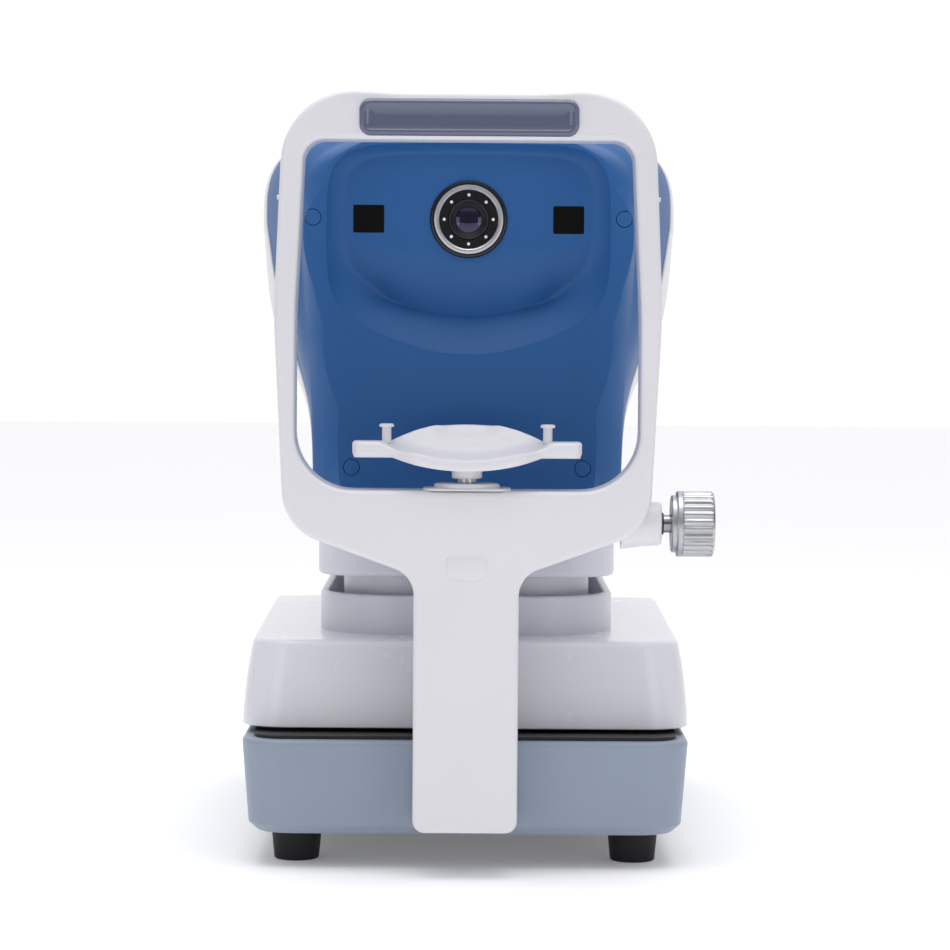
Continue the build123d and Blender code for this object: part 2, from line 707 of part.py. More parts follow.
with BuildPart() as stage_cover:
    loft(
        [
            stage_section(STAGE_Z0, STAGE_HALF, STAGE_HALF, STAGE_FRONT, STAGE_REAR, 26),
            stage_section(DECK_Z, 125.0, 130.5, STAGE_FRONT + 6, STAGE_REAR - 4, 26),
        ]
    )
    extrude(deck_step(0), amount=2 * STAGE_HALF + 10, mode=Mode.SUBTRACT)
    fillet(stage_cover.faces().filter_by(Axis.Z).sort_by(Axis.Z)[-1].edges(), 4)
    add(stage_cavity.part, mode=Mode.SUBTRACT)
    with BuildSketch(level(DECK_Z + 1)):
        with Locations((0, NECK_MID)):
            RectangleRounded(2 * (NECK_HALF + NECK_GAP), NECK_LONG + 2 * NECK_GAP, NECK_CORNER + NECK_GAP)
        with Locations((STICK_X, STICK_Y)):
            Circle(DOME_HOLE_R)
        with Locations((PRINTER_X, STICK_Y)):
            Rectangle(PRINTER_WIDE, PRINTER_LONG)
    extrude(amount=-12, mode=Mode.SUBTRACT)
    with BuildSketch(upright(STAGE_REAR - 10)):
        with Locations((LOCK_X, LOCK_Z)):
            Circle(3 + RUN)
    extrude(amount=BACK * 20, mode=Mode.SUBTRACT)
stage_cover.part.label = "stage_cover"
export_step(stage_cover.part, "parts/stage_cover.step")

with BuildPart() as stage_collar:
    with BuildSketch(level(DECK_Z)):
        with Locations((0, (COLLAR_Y0 + COLLAR_Y1) / 2)):
            RectangleRounded(2 * COLLAR_HALF, COLLAR_Y1 - COLLAR_Y0, NECK_CORNER + 12)
    extrude(amount=COLLAR_TOP - DECK_Z)
    fillet(stage_collar.faces().sort_by(Axis.Z)[-1].edges(), 3.5)
    with BuildSketch(level(DECK_Z)):
        with Locations((0, NECK_MID)):
            RectangleRounded(2 * (NECK_HALF + NECK_GAP), NECK_LONG + 2 * NECK_GAP, NECK_CORNER + NECK_GAP)
    extrude(amount=COLLAR_TOP - DECK_Z, mode=Mode.SUBTRACT)
stage_collar.part.label = "stage_collar"
export_step(stage_collar.part, "parts/stage_collar.step")

GUIDE_TOP = 234.0
with BuildPart() as lift_guide_rods:
    with BuildSketch(level(STAGE_PLATE_Z)):
        with Locations((-GUIDE_X, LIFT_Y), (GUIDE_X, LIFT_Y)):
            Circle(GUIDE_R)
    extrude(amount=GUIDE_TOP - STAGE_PLATE_Z)
lift_guide_rods.part.label = "lift_guide_rods"
export_step(lift_guide_rods.part, "parts/lift_guide_rods.step")

MOTOR_TOP = PLATE_TOP + 26
with BuildPart() as lift_motor:
    with BuildSketch(level(PLATE_TOP)):
        with Locations((0, LIFT_Y)):
            RectangleRounded(42, 42, 4)
    extrude(amount=MOTOR_TOP - PLATE_TOP)
    with BuildSketch(level(MOTOR_TOP)):
        with Locations((0, LIFT_Y)):
            Circle(SCREW_R + RUN)
    extrude(amount=-14, mode=Mode.SUBTRACT)
lift_motor.part.label = "lift_motor"
export_step(lift_motor.part, "parts/lift_motor.step")

with BuildPart() as lift_screw:
    with BuildSketch(level(MOTOR_TOP - 12)):
        with Locations((0, LIFT_Y)):
            Circle(SCREW_R)
    extrude(amount=GUIDE_TOP - MOTOR_TOP + 12)
lift_screw.part.label = "lift_screw"
export_step(lift_screw.part, "parts/lift_screw.step")

# ------------------------------------------------------------------ printer
TUB_Z0 = 79.0
TUB_TOP = REAR_DECK_Z - 3.5
SPINDLE_R = 5.95
ROLL_HALF = 28.5
with BuildPart() as printer_frame:
    with BuildSketch(level(TUB_Z0)):
        with Locations((PRINTER_X, STICK_Y)):
            Rectangle(PRINTER_WIDE - 2, PRINTER_LONG - 2)
    extrude(amount=TUB_TOP - TUB_Z0)
    with BuildSketch(level(TUB_Z0 + 2)):
        with Locations((PRINTER_X, STICK_Y)):
            Rectangle(PRINTER_WIDE - 6, PRINTER_LONG - 6)
    extrude(amount=TUB_TOP - TUB_Z0, mode=Mode.SUBTRACT)
    for side in (-1, 1):
        with BuildSketch(sideways(PRINTER_X + side * (PRINTER_WIDE / 2 - 2))):
            with Locations((STICK_Y, ROLL_Z)):
                Circle(SPINDLE_R)
        extrude(amount=-side * 8)
    with BuildSketch(level(TUB_TOP - 14)):
        with Locations((PRINTER_X, STICK_Y - PRINTER_LONG / 2 + 4.5)):
            Rectangle(52, 4)
    extrude(amount=10)
printer_frame.part.label = "printer_frame"
export_step(printer_frame.part, "parts/printer_frame.step")

with BuildPart() as paper_roll:
    with BuildSketch(sideways(PRINTER_X - ROLL_HALF)):
        with Locations((STICK_Y, ROLL_Z)):
            Circle(15.5)
            Circle(SPINDLE_R + RUN, mode=Mode.SUBTRACT)
    extrude(amount=2 * ROLL_HALF)
paper_roll.part.label = "paper_roll"
export_step(paper_roll.part, "parts/paper_roll.step")

LID_Z0 = REAR_DECK_Z - 2.8
LID_TOP = REAR_DECK_Z + 0.6
with BuildPart() as printer_lid:
    with BuildSketch(level(LID_Z0)):
        with Locations((PRINTER_X, STICK_Y)):
            RectangleRounded(PRINTER_WIDE - 1, PRINTER_LONG - 1, 2)
        with Locations((PRINTER_X, STICK_Y - PRINTER_LONG / 2 + 6)):
            SlotOverall(56, 2.6, mode=Mode.SUBTRACT)
    extrude(amount=LID_TOP - LID_Z0)
    with BuildSketch(level(LID_TOP)):
        with Locations((PRINTER_X, STICK_Y)):
            SlotOverall(26, 6)
    extrude(amount=-1.2, mode=Mode.SUBTRACT)
printer_lid.part.label = "printer_lid"
export_step(printer_lid.part, "parts/printer_lid.step")

# ------------------------------------------------------------------ joystick and stage lock
RING_IN = 8.0
RING_OUT = 13.5
STEM_R = 4.0
GRIP_Z0 = 164.0
GRIP_Z1 = 214.0
BUTTON_TRAVEL = 2.0
with BuildPart() as joystick_gimbal:
    with BuildSketch(level(PIVOT_Z - 3)):
        with Locations((STICK_X, STICK_Y)):
            Circle(RING_OUT)
            Circle(RING_IN, mode=Mode.SUBTRACT)
    extrude(amount=6)
    with BuildSketch(sideways(STICK_X - GIMBAL_POST_X - 2)):
        with Locations((STICK_Y, PIVOT_Z)):
            Circle(2)
    extrude(amount=2 * GIMBAL_POST_X + 4)
    with BuildSketch(level(PIVOT_Z - 3)):
        with Locations((STICK_X, STICK_Y)):
            Circle(RING_IN)
    extrude(amount=6, mode=Mode.SUBTRACT)
    with BuildSketch(upright(STICK_Y - RING_OUT - 1)):
        with Locations((STICK_X, PIVOT_Z)):
            Circle(1.5 + RUN)
    extrude(amount=BACK * (2 * RING_OUT + 2), mode=Mode.SUBTRACT)
joystick_gimbal.part.label = "joystick_gimbal"
export_step(joystick_gimbal.part, "parts/joystick_gimbal.step")

DOME_T = 2.0
with BuildPart() as joystick_stem:
    with BuildSketch(level(PIVOT_Z - 5)):
        with Locations((STICK_X, STICK_Y)):
            Circle(5.5)
    extrude(amount=11)
    with BuildSketch(level(PIVOT_Z)):
        with Locations((STICK_X, STICK_Y)):
            Circle(STEM_R)
    extrude(amount=GRIP_Z1 - 14 - PIVOT_Z)
    with BuildSketch(upright(STICK_Y - RING_OUT)):
        with Locations((STICK_X, PIVOT_Z)):
            Circle(1.5)
    extrude(amount=BACK * 2 * RING_OUT)
joystick_stem.part.label = "joystick_stem"
export_step(joystick_stem.part, "parts/joystick_stem.step")

DOME_EDGE = 72.0
with BuildPart() as joystick_dome:
    with BuildSketch(upright(STICK_Y)):
        with BuildLine():
            outer = CenterArc((STICK_X, PIVOT_Z), DOME_R, 90 - DOME_EDGE, DOME_EDGE)
            inner = CenterArc((STICK_X, PIVOT_Z), DOME_R - DOME_T, 90 - DOME_EDGE, DOME_EDGE)
            Line(outer @ 0, inner @ 0)
            Line(outer @ 1, inner @ 1)
        make_face()
    revolve(axis=Axis((ORIGIN_X + STICK_X, ORIGIN_Y + STICK_Y, 0), (0, 0, 1)))
    with BuildSketch(level(PIVOT_Z)):
        with Locations((STICK_X, STICK_Y)):
            Circle(STEM_R)
    extrude(amount=DOME_R + 2, mode=Mode.SUBTRACT)
joystick_dome.part.label = "joystick_dome"
export_step(joystick_dome.part, "parts/joystick_dome.step")

RING_TALL = 13.0
with BuildPart() as height_ring:
    with BuildSketch(level(GRIP_Z0 - RING_TALL - 0.4)):
        with Locations((STICK_X, STICK_Y)):
            Circle(15)
            with PolarLocations(15.3, 24):
                Circle(0.9, mode=Mode.SUBTRACT)
            Circle(STEM_R + RUN, mode=Mode.SUBTRACT)
    extrude(amount=RING_TALL)
height_ring.part.label = "height_ring"
export_step(height_ring.part, "parts/height_ring.step")

BUTTON_R = 6.0
with BuildPart() as joystick_grip:
    with BuildSketch(upright(STICK_Y)):
        with BuildLine():
            Line((STICK_X, GRIP_Z0), (STICK_X + 13.5, GRIP_Z0))
            Spline(
                (STICK_X + 13.5, GRIP_Z0),
                (STICK_X + 10.8, GRIP_Z0 + 18),
                (STICK_X + 13.2, GRIP_Z1 - 12),
                (STICK_X + 9, GRIP_Z1),
            )
            Line((STICK_X + 9, GRIP_Z1), (STICK_X, GRIP_Z1))
            Line((STICK_X, GRIP_Z1), (STICK_X, GRIP_Z0))
        make_face()
    revolve(axis=Axis((ORIGIN_X + STICK_X, ORIGIN_Y + STICK_Y, 0), (0, 0, 1)))
    with BuildSketch(level(GRIP_Z0)):
        with Locations((STICK_X, STICK_Y)):
            Circle(STEM_R)
    extrude(amount=GRIP_Z1 - GRIP_Z0 - 14, mode=Mode.SUBTRACT)
    with BuildSketch(level(GRIP_Z1)):
        with Locations((STICK_X, STICK_Y)):
            Circle(BUTTON_R + RUN)
    extrude(amount=-10, mode=Mode.SUBTRACT)
joystick_grip.part.label = "joystick_grip"
export_step(joystick_grip.part, "parts/joystick_grip.step")

with BuildPart() as measure_button:
    with BuildSketch(level(GRIP_Z1 - 10 + BUTTON_TRAVEL + 0.5)):
        with Locations((STICK_X, STICK_Y)):
            Circle(BUTTON_R)
    extrude(amount=10)
    fillet(measure_button.edges().group_by(Axis.Z)[-1], 1.5)
measure_button.part.label = "measure_button"
export_step(measure_button.part, "parts/measure_button.step")

with BuildPart() as stage_lock_knob:
    with BuildSketch(upright(STAGE_REAR + 1.5)):
        with Locations((LOCK_X, LOCK_Z)):
            Circle(11)
            with PolarLocations(11.6, 12):
                Circle(1.6, mode=Mode.SUBTRACT)
    extrude(amount=BACK * 14)
    with BuildSketch(upright(STAGE_REAR + 2)):
        with Locations((LOCK_X, LOCK_Z)):
            Circle(3)
    extrude(amount=16)
stage_lock_knob.part.label = "stage_lock_knob"
export_step(stage_lock_knob.part, "parts/stage_lock_knob.step")

# ------------------------------------------------------------------ head
# Half-widths of the head at five heights and the crown's height, front to back. The front face
# narrows towards the chin; the temples are widest beside the eyes.
HEAD_HEIGHTS = (TRAY_Z1, 262, 320, 375, 408, 430)
HEAD_SECTIONS = (
    (HEAD_FRONT, (75, 77, 87, 96, 95, 84), 434),
    (100, (88.8, 90.5, 98, 106, 104, 90), 437),
    (140, (90, 93.5, 108, 116.5, 114, 97), 438),
    (185, (90.5, 97.5, 118.5, 125.2, 121.5, 100), HEAD_TOP),
    (260, (90.5, 98, 118, 124.5, 121, 99), 437),
    (340, (90, 96, 112, 119, 116, 95), 435),
    (HEAD_REAR, (88, 92, 104, 110, 107, 86), 430),
)


def head_section(y, half_widths, crown, inset=0.0):
    """The head's outline on an upright plane, drawn in by inset."""
    flank = [(half - inset, z) for half, z in zip(half_widths, HEAD_HEIGHTS)]
    flank[0] = (flank[0][0], TRAY_Z1 + inset)
    flank[-1] = (flank[-1][0], HEAD_HEIGHTS[-1] - inset)
    with BuildSketch(upright(y)) as section:
        with BuildLine():
            Line((-flank[0][0], flank[0][1]), flank[0])
            Spline(*flank, (0, crown - inset), tangents=((0.02, 1), (-1, 0)))
            Spline(*[(-x, z) for x, z in flank], (0, crown - inset), tangents=((-0.02, 1), (1, 0)))
        make_face()
    return section.sketch


def head_sections(inset):
    """All the sections, with the end ones moved in by the same inset."""
    sections = []
    for y, half_widths, crown in HEAD_SECTIONS:
        if y == HEAD_FRONT:
            y += inset
        if y == HEAD_REAR:
            y -= inset
        sections.append(head_section(y, half_widths, crown, inset))
    return sections


TRAY_MID = (TRAY_Y0 + TRAY_Y1) / 2
TRAY_LONG = TRAY_Y1 - TRAY_Y0
with BuildPart() as head_shell:
    loft(head_sections(0))
    loft(head_sections(HEAD_WALL), mode=Mode.SUBTRACT)
    with BuildSketch(level(TRAY_Z1 - 1)):
        with Locations((0, TRAY_MID)):
            RectangleRounded(2 * TRAY_HALF - 16, TRAY_LONG - 16, 20)
    extrude(amount=8, mode=Mode.SUBTRACT)

SEAM_LOW = 122.0
SEAM_HIGH = 188.0
SEAM_LEAN = (SEAM_HIGH - SEAM_LOW) / (HEAD_TOP - TRAY_Z1)
SEAM = Plane(
    origin=(ORIGIN_X, ORIGIN_Y + SEAM_LOW, TRAY_Z1),
    x_dir=(1, 0, 0),
    z_dir=(0, 1, -SEAM_LEAN),
)

DISPLAY_HALF = 88.0
DISPLAY_Z0 = 262.0
DISPLAY_Z1 = 380.0
DISPLAY_FRONT = 394.0
DISPLAY_REAR = 408.0
HINGE_Y = 401.0
HINGE_Z = 268.0
HINGE_X = 60.0
BRACKET_HALF = 4.0
with BuildPart() as head_housing:
    add(head_shell.part)
    split(bisect_by=SEAM, keep=Keep.TOP)
    for louvre_z in (300, 309, 318, 327):
        with BuildSketch(sideways(-140)):
            with Locations((290, louvre_z)):
                SlotOverall(60, 3)
        extrude(amount=280, mode=Mode.SUBTRACT)
head_housing.part.label = "head_housing"
export_step(head_housing.part, "parts/head_housing.step")

RECESS_DEPTH = 16.0
PANEL_Y = 81.0
PANEL_HALF = 70.5
WINDOW_X = 58.6
WINDOW_WIDE = 17.8
WINDOW_TALL = 15.9
CAP_R = 4.9
CAP_PLACES = ((-91, 377), (91, 377), (-67.7, 231), (67.7, 231))
BEZEL_R = 22.5


def recess_outline(y, half, low, brow, high, grow=0.0):
    """The scoop's outline: straight sides, a rounded top and a long curved lower edge."""
    with BuildSketch(upright(y)) as outline:
        with BuildLine():
            for side in (-1, 1):
                Spline(
                    (0, low - grow),
                    (side * 0.55 * half, low + 0.2 * (brow - low) - grow),
                    (side * (half + grow), brow),
                    tangents=((side, 0), (0, 1)),
                )
                Line((side * (half + grow), brow), (side * (half + grow), high - 18))
                Spline(
                    (side * (half + grow), high - 18),
                    (side * (half - 18), high + grow),
                    tangents=((0, 1), (-side, 0)),
                )
            Line((18 - half, high + grow), (half - 18, high + grow))
        make_face()
    return outline.sketch


with BuildPart() as front_cover:
    add(head_shell.part)
    split(bisect_by=SEAM, keep=Keep.BOTTOM)
    loft(
        [
            recess_outline(HEAD_FRONT + 1, 82.8, 298, 350, 419, 3),
            recess_outline(HEAD_FRONT + RECESS_DEPTH + 3, 71, 320, 360, 414, 3),
        ]
    )
    loft(
        [
            recess_outline(HEAD_FRONT - 0.5, 82.8, 298, 350, 419),
            recess_outline(HEAD_FRONT + RECESS_DEPTH, 71, 320, 360, 414),
        ],
        mode=Mode.SUBTRACT,
    )
    with BuildSketch(sideways(-PANEL_HALF)):
        Polygon(
            (HEAD_FRONT + RECESS_DEPTH + 1, 414),
            (PANEL_Y, 414),
            (PANEL_Y, 352),
            (PANEL_Y + 2.5, 340),
            (HEAD_FRONT + RECESS_DEPTH + 1, 326),
            align=None,
        )
    extrude(amount=2 * PANEL_HALF)
    with BuildSketch(upright(PANEL_Y - 1)):
        with Locations((0, LENS_Z)):
            Circle(BEZEL_R)
    extrude(amount=BACK * 30, mode=Mode.SUBTRACT)
    with BuildSketch(upright(PANEL_Y)):
        with Locations((-WINDOW_X, LENS_Z), (WINDOW_X, LENS_Z)):
            Rectangle(WINDOW_WIDE, WINDOW_TALL)
    extrude(amount=BACK * 4, mode=Mode.SUBTRACT)
    with BuildSketch(upright(HEAD_FRONT - 1)):
        with Locations(*CAP_PLACES):
            Circle(CAP_R)
    extrude(amount=BACK * 2.6, mode=Mode.SUBTRACT)
front_cover.part.label = "front_cover"
export_step(front_cover.part, "parts/front_cover.step")

with BuildPart() as screw_caps:
    with BuildSketch(upright(HEAD_FRONT - 0.1)):
        with Locations(*CAP_PLACES):
            Circle(CAP_R - 0.25)
    extrude(amount=BACK * 1.7)
screw_caps.part.label = "screw_caps"
export_step(screw_caps.part, "parts/screw_caps.step")

with BuildPart() as side_windows:
    with BuildSketch(upright(PANEL_Y + 1)):
        with Locations((-WINDOW_X, LENS_Z), (WINDOW_X, LENS_Z)):
            Rectangle(WINDOW_WIDE, WINDOW_TALL)
    extrude(amount=BACK * 3)
side_windows.part.label = "side_windows"
export_step(side_windows.part, "parts/side_windows.step")

TRIM_R = 20.4
CARRIER_R = 17.1
BARREL_R = 11.8
BARREL_BORE = 8.9
APERTURE_R = 7.9
LAMP_CIRCLE_R = 14.35
LAMP_R = 1.2
LAMPS = 8
with BuildPart() as lens_bezel:
    with BuildSketch(upright(PANEL_Y - 1.5)):
        with Locations((0, LENS_Z)):
            Circle(BEZEL_R)
            Circle(TRIM_R, mode=Mode.SUBTRACT)
    extrude(amount=BACK * 14)
    fillet(lens_bezel.edges().group_by(Axis.Y)[0], 0.6)
lens_bezel.part.label = "lens_bezel"
export_step(lens_bezel.part, "parts/lens_bezel.step")

with BuildPart() as lens_trim_ring:
    with BuildSketch(upright(PANEL_Y - 2)):
        with Locations((0, LENS_Z)):
            Circle(TRIM_R)
            Circle(CARRIER_R, mode=Mode.SUBTRACT)
    extrude(amount=BACK * 12)
    chamfer(lens_trim_ring.edges().group_by(Axis.Y)[0], 0.7)
lens_trim_ring.part.label = "lens_trim_ring"
export_step(lens_trim_ring.part, "parts/lens_trim_ring.step")

with BuildPart() as lamp_carrier:
    with BuildSketch(upright(PANEL_Y)):
        with Locations((0, LENS_Z)):
            Circle(CARRIER_R)
            Circle(BARREL_R, mode=Mode.SUBTRACT)
            with PolarLocations(LAMP_CIRCLE_R, LAMPS):
                Circle(LAMP_R, mode=Mode.SUBTRACT)
    extrude(amount=BACK * 6)
lamp_carrier.part.label = "lamp_carrier"
export_step(lamp_carrier.part, "parts/lamp_carrier.step")

with BuildPart() as measuring_lamps:
    with BuildSketch(upright(PANEL_Y - 0.4)):
        with Locations((0, LENS_Z)):
            with PolarLocations(LAMP_CIRCLE_R, LAMPS):
                Circle(LAMP_R)
    extrude(amount=BACK * 4)
measuring_lamps.part.label = "measuring_lamps"
export_step(measuring_lamps.part, "parts/measuring_lamps.step")

LENS_SEAT_Y = PANEL_Y + 5
BARREL_END = 160.0
with BuildPart() as lens_barrel:
    with BuildSketch(upright(PANEL_Y - 0.6)):
        with Locations((0, LENS_Z)):
            Circle(BARREL_R)
            Circle(APERTURE_R, mode=Mode.SUBTRACT)
    extrude(amount=BACK * (BARREL_END - PANEL_Y + 0.6))
    with BuildSketch(upright(LENS_SEAT_Y)):
        with Locations((0, LENS_Z)):
            Circle(BARREL_BORE)
    extrude(amount=BACK * (BARREL_END - LENS_SEAT_Y), mode=Mode.SUBTRACT)
    with BuildSketch(sideways(0)):
        Polygon(
            (PANEL_Y - 0.6, LENS_Z + BARREL_BORE + 1),
            (PANEL_Y - 0.6, LENS_Z),
            (LENS_SEAT_Y - 1, LENS_Z),
            (LENS_SEAT_Y - 1, LENS_Z + APERTURE_R),
            align=None,
        )
    revolve(axis=Axis((ORIGIN_X, ORIGIN_Y, LENS_Z), (0, 1, 0)), mode=Mode.SUBTRACT)
lens_barrel.part.label = "lens_barrel"
export_step(lens_barrel.part, "parts/lens_barrel.step")

with BuildPart() as objective_lens:
    with BuildSketch(upright(LENS_SEAT_Y)):
        with Locations((0, LENS_Z)):
            Circle(BARREL_BORE)
    extrude(amount=BACK * 6)
    chamfer(objective_lens.edges().group_by(Axis.Y)[0], 1.2, 4)
objective_lens.part.label = "objective_lens"
export_step(objective_lens.part, "parts/objective_lens.step")

TRAY_FLOOR = 5.0
with BuildPart() as head_tray:
    with BuildSketch(level(TRAY_Z0)):
        with Locations((0, TRAY_MID)):
            RectangleRounded(2 * TRAY_HALF, TRAY_LONG, 28)
    extrude(amount=TRAY_Z1 - TRAY_Z0)
    fillet(head_tray.faces().sort_by(Axis.Z)[0].edges(), 3)
    with BuildSketch(level(TRAY_Z0 + TRAY_FLOOR)):
        with Locations((0, TRAY_MID)):
            RectangleRounded(2 * TRAY_HALF - 7, TRAY_LONG - 7, 24.5)
    extrude(amount=TRAY_Z1 - TRAY_Z0, mode=Mode.SUBTRACT)
    with BuildSketch(level(TRAY_Z0 + TRAY_FLOOR)):
        with Locations((-GUIDE_X, LIFT_Y), (0, LIFT_Y), (GUIDE_X, LIFT_Y)):
            Circle(12)
    extrude(amount=28)
    with BuildSketch(level(TRAY_Z0)):
        with Locations((-GUIDE_X, LIFT_Y), (GUIDE_X, LIFT_Y)):
            Circle(GUIDE_R + RUN)
        with Locations((0, LIFT_Y)):
            Circle(SCREW_R + RUN)
    extrude(amount=60, mode=Mode.SUBTRACT)
head_tray.part.label = "head_tray"
export_step(head_tray.part, "parts/head_tray.step")

with BuildPart() as neck_sleeve:
    with BuildSketch(level(NECK_Z0)):
        with Locations((0, NECK_MID)):
            RectangleRounded(2 * NECK_HALF, NECK_LONG, NECK_CORNER)
            RectangleRounded(2 * NECK_HALF - 8, NECK_LONG - 8, NECK_CORNER - 4, mode=Mode.SUBTRACT)
    extrude(amount=TRAY_Z0 - NECK_Z0)
neck_sleeve.part.label = "neck_sleeve"
export_step(neck_sleeve.part, "parts/neck_sleeve.step")

BENCH_Z = 336.0
COLUMN_X = 64.0
TARGET_Y = 205.0
with BuildPart() as optical_bench:
    with BuildSketch(level(BENCH_Z)):
        with Locations((0, 225)):
            Rectangle(144, 220)
    extrude(amount=6)
    with BuildSketch(level(TRAY_Z0 + TRAY_FLOOR)):
        with Locations(*[(side * COLUMN_X, y) for side in (-1, 1) for y in (140, 310)]):
            Rectangle(10, 10)
    extrude(amount=BENCH_Z - TRAY_Z0 - TRAY_FLOOR)
    with BuildSketch(upright(BARREL_END - 20)):
        with Locations((0, (BENCH_Z + 6 + LENS_Z) / 2)):
            Rectangle(40, LENS_Z - BENCH_Z - 6)
        with Locations((0, LENS_Z)):
            Circle(BARREL_R + 6)
            Circle(BARREL_R, mode=Mode.SUBTRACT)
    extrude(amount=BACK * 12)
    with BuildSketch(level(BENCH_Z + 6)):
        with Locations((0, TARGET_Y)):
            Rectangle(14, 2 * TARGET_TRAVEL + 36)
    extrude(amount=6)
optical_bench.part.label = "optical_bench"
export_step(optical_bench.part, "parts/optical_bench.step")

with BuildPart() as target_carriage:
    with BuildSketch(upright(TARGET_Y - 6)):
        with Locations((0, BENCH_Z + 20)):
            Rectangle(30, 24)
        with Locations((0, LENS_Z)):
            Circle(16)
        with Locations((0, BENCH_Z + 9)):
            Rectangle(14 + 2 * RUN, 6 + 2 * RUN, mode=Mode.SUBTRACT)
        with Locations((0, LENS_Z)):
            Circle(11, mode=Mode.SUBTRACT)
    extrude(amount=BACK * 12)
target_carriage.part.label = "target_carriage"
export_step(target_carriage.part, "parts/target_carriage.step")

with BuildPart() as camera_module:
    with BuildSketch(level(BENCH_Z + 6)):
        with Locations((0, 290)):
            Rectangle(44, 50)
    extrude(amount=56)
    with BuildSketch(upright(265)):
        with Locations((0, LENS_Z)):
            Circle(14)
    extrude(amount=18)
camera_module.part.label = "camera_module"
export_step(camera_module.part, "parts/camera_module.step")

with BuildPart() as main_board:
    with BuildSketch(sideways(COLUMN_X + 5)):
        with Locations((225, 270)):
            Rectangle(180, 100)
    extrude(amount=1.6)
    with BuildSketch(sideways(COLUMN_X + 6.6)):
        with Locations((180, 285), (230, 270), (275, 290), (200, 245)):
            Rectangle(22, 22)
    extrude(amount=2.4)
main_board.part.label = "main_board"
export_step(main_board.part, "parts/main_board.step")

# ------------------------------------------------------------------ display
PIN_R = 3.0
with BuildPart() as display_hinge:
    with BuildSketch(sideways(-HINGE_X - BRACKET_HALF)):
        with Locations((HEAD_REAR + 7, HINGE_Z)):
            Rectangle(14, 8)
        with Locations((HINGE_Y, HINGE_Z)):
            Circle(4)
    extrude(amount=2 * (HINGE_X + BRACKET_HALF))
    with BuildSketch(sideways(BRACKET_HALF - HINGE_X)):
        with Locations((HINGE_Y, HINGE_Z)):
            Rectangle(40, 20)
    extrude(amount=2 * (HINGE_X - BRACKET_HALF), mode=Mode.SUBTRACT)
    for side in (-1, 1):
        with BuildSketch(sideways(side * (HINGE_X + BRACKET_HALF))):
            with Locations((HINGE_Y, HINGE_Z)):
                Circle(PIN_R)
        extrude(amount=-side * 19)
display_hinge.part.label = "display_hinge"
export_step(display_hinge.part, "parts/display_hinge.step")

SCREEN_HALF = 78.0
SCREEN_Z0 = 284.0
SCREEN_Z1 = 372.0
with BuildPart() as display_frame:
    with BuildSketch(upright(DISPLAY_FRONT)):
        with Locations((0, (DISPLAY_Z0 + DISPLAY_Z1) / 2)):
            RectangleRounded(2 * DISPLAY_HALF, DISPLAY_Z1 - DISPLAY_Z0, 9)
    extrude(amount=BACK * (DISPLAY_REAR - DISPLAY_FRONT))
    fillet(display_frame.faces().sort_by(Axis.Y)[0].edges(), 3)
    fillet(display_frame.faces().sort_by(Axis.Y)[-1].edges(), 1.5)
    with BuildSketch(upright(DISPLAY_REAR)):
        with Locations((0, (SCREEN_Z0 + SCREEN_Z1) / 2)):
            Rectangle(2 * SCREEN_HALF, SCREEN_Z1 - SCREEN_Z0)
    extrude(amount=2, mode=Mode.SUBTRACT)
    with BuildSketch(upright(DISPLAY_FRONT - 1)):
        with Locations((-HINGE_X, HINGE_Z), (HINGE_X, HINGE_Z)):
            Rectangle(2 * BRACKET_HALF + 1, 17)
    extrude(amount=BACK * 20, mode=Mode.SUBTRACT)
    with BuildSketch(sideways(-HINGE_X)):
        with Locations((HINGE_Y, HINGE_Z)):
            Circle(PIN_R + RUN)
    extrude(amount=2 * HINGE_X, mode=Mode.SUBTRACT)
display_frame.part.label = "display_frame"
export_step(display_frame.part, "parts/display_frame.step")

with BuildPart() as display_screen:
    with BuildSketch(upright(DISPLAY_REAR)):
        with Locations((0, (SCREEN_Z0 + SCREEN_Z1) / 2)):
            Rectangle(2 * SCREEN_HALF, SCREEN_Z1 - SCREEN_Z0)
    extrude(amount=2)
display_screen.part.label = "display_screen"
export_step(display_screen.part, "parts/display_screen.step")
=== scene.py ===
import json
import math

import bmesh
import bpy
import numpy as np
from mathutils import Matrix, Vector


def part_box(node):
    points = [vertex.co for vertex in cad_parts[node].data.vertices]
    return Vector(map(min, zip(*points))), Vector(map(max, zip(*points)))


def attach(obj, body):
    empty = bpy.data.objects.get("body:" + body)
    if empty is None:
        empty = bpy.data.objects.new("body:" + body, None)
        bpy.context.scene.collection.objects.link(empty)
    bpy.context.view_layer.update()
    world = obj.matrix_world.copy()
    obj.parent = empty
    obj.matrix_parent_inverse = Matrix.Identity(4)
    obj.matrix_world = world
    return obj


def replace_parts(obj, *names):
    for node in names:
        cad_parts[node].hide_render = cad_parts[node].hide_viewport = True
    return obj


# Autorefractor. Shapes are written in bench millimetres: x from the centre plane, y back from the
# front of the face support, z up from the table. at() turns them into the frame's metres.
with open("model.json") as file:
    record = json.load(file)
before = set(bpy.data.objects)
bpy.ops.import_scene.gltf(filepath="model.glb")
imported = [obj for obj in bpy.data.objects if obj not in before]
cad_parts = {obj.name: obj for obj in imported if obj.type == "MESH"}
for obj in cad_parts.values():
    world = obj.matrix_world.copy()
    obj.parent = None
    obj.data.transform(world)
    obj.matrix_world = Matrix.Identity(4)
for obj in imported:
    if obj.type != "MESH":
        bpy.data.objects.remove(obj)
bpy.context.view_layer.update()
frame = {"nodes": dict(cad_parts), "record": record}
MM = 0.001
arch_low, arch_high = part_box("face_support")
MIDDLE_X = (arch_low.x + arch_high.x) / 2
FRONT_Y = arch_low.y


def at(x, y, z):
    return (MIDDLE_X + x * MM, FRONT_Y + y * MM, z * MM)


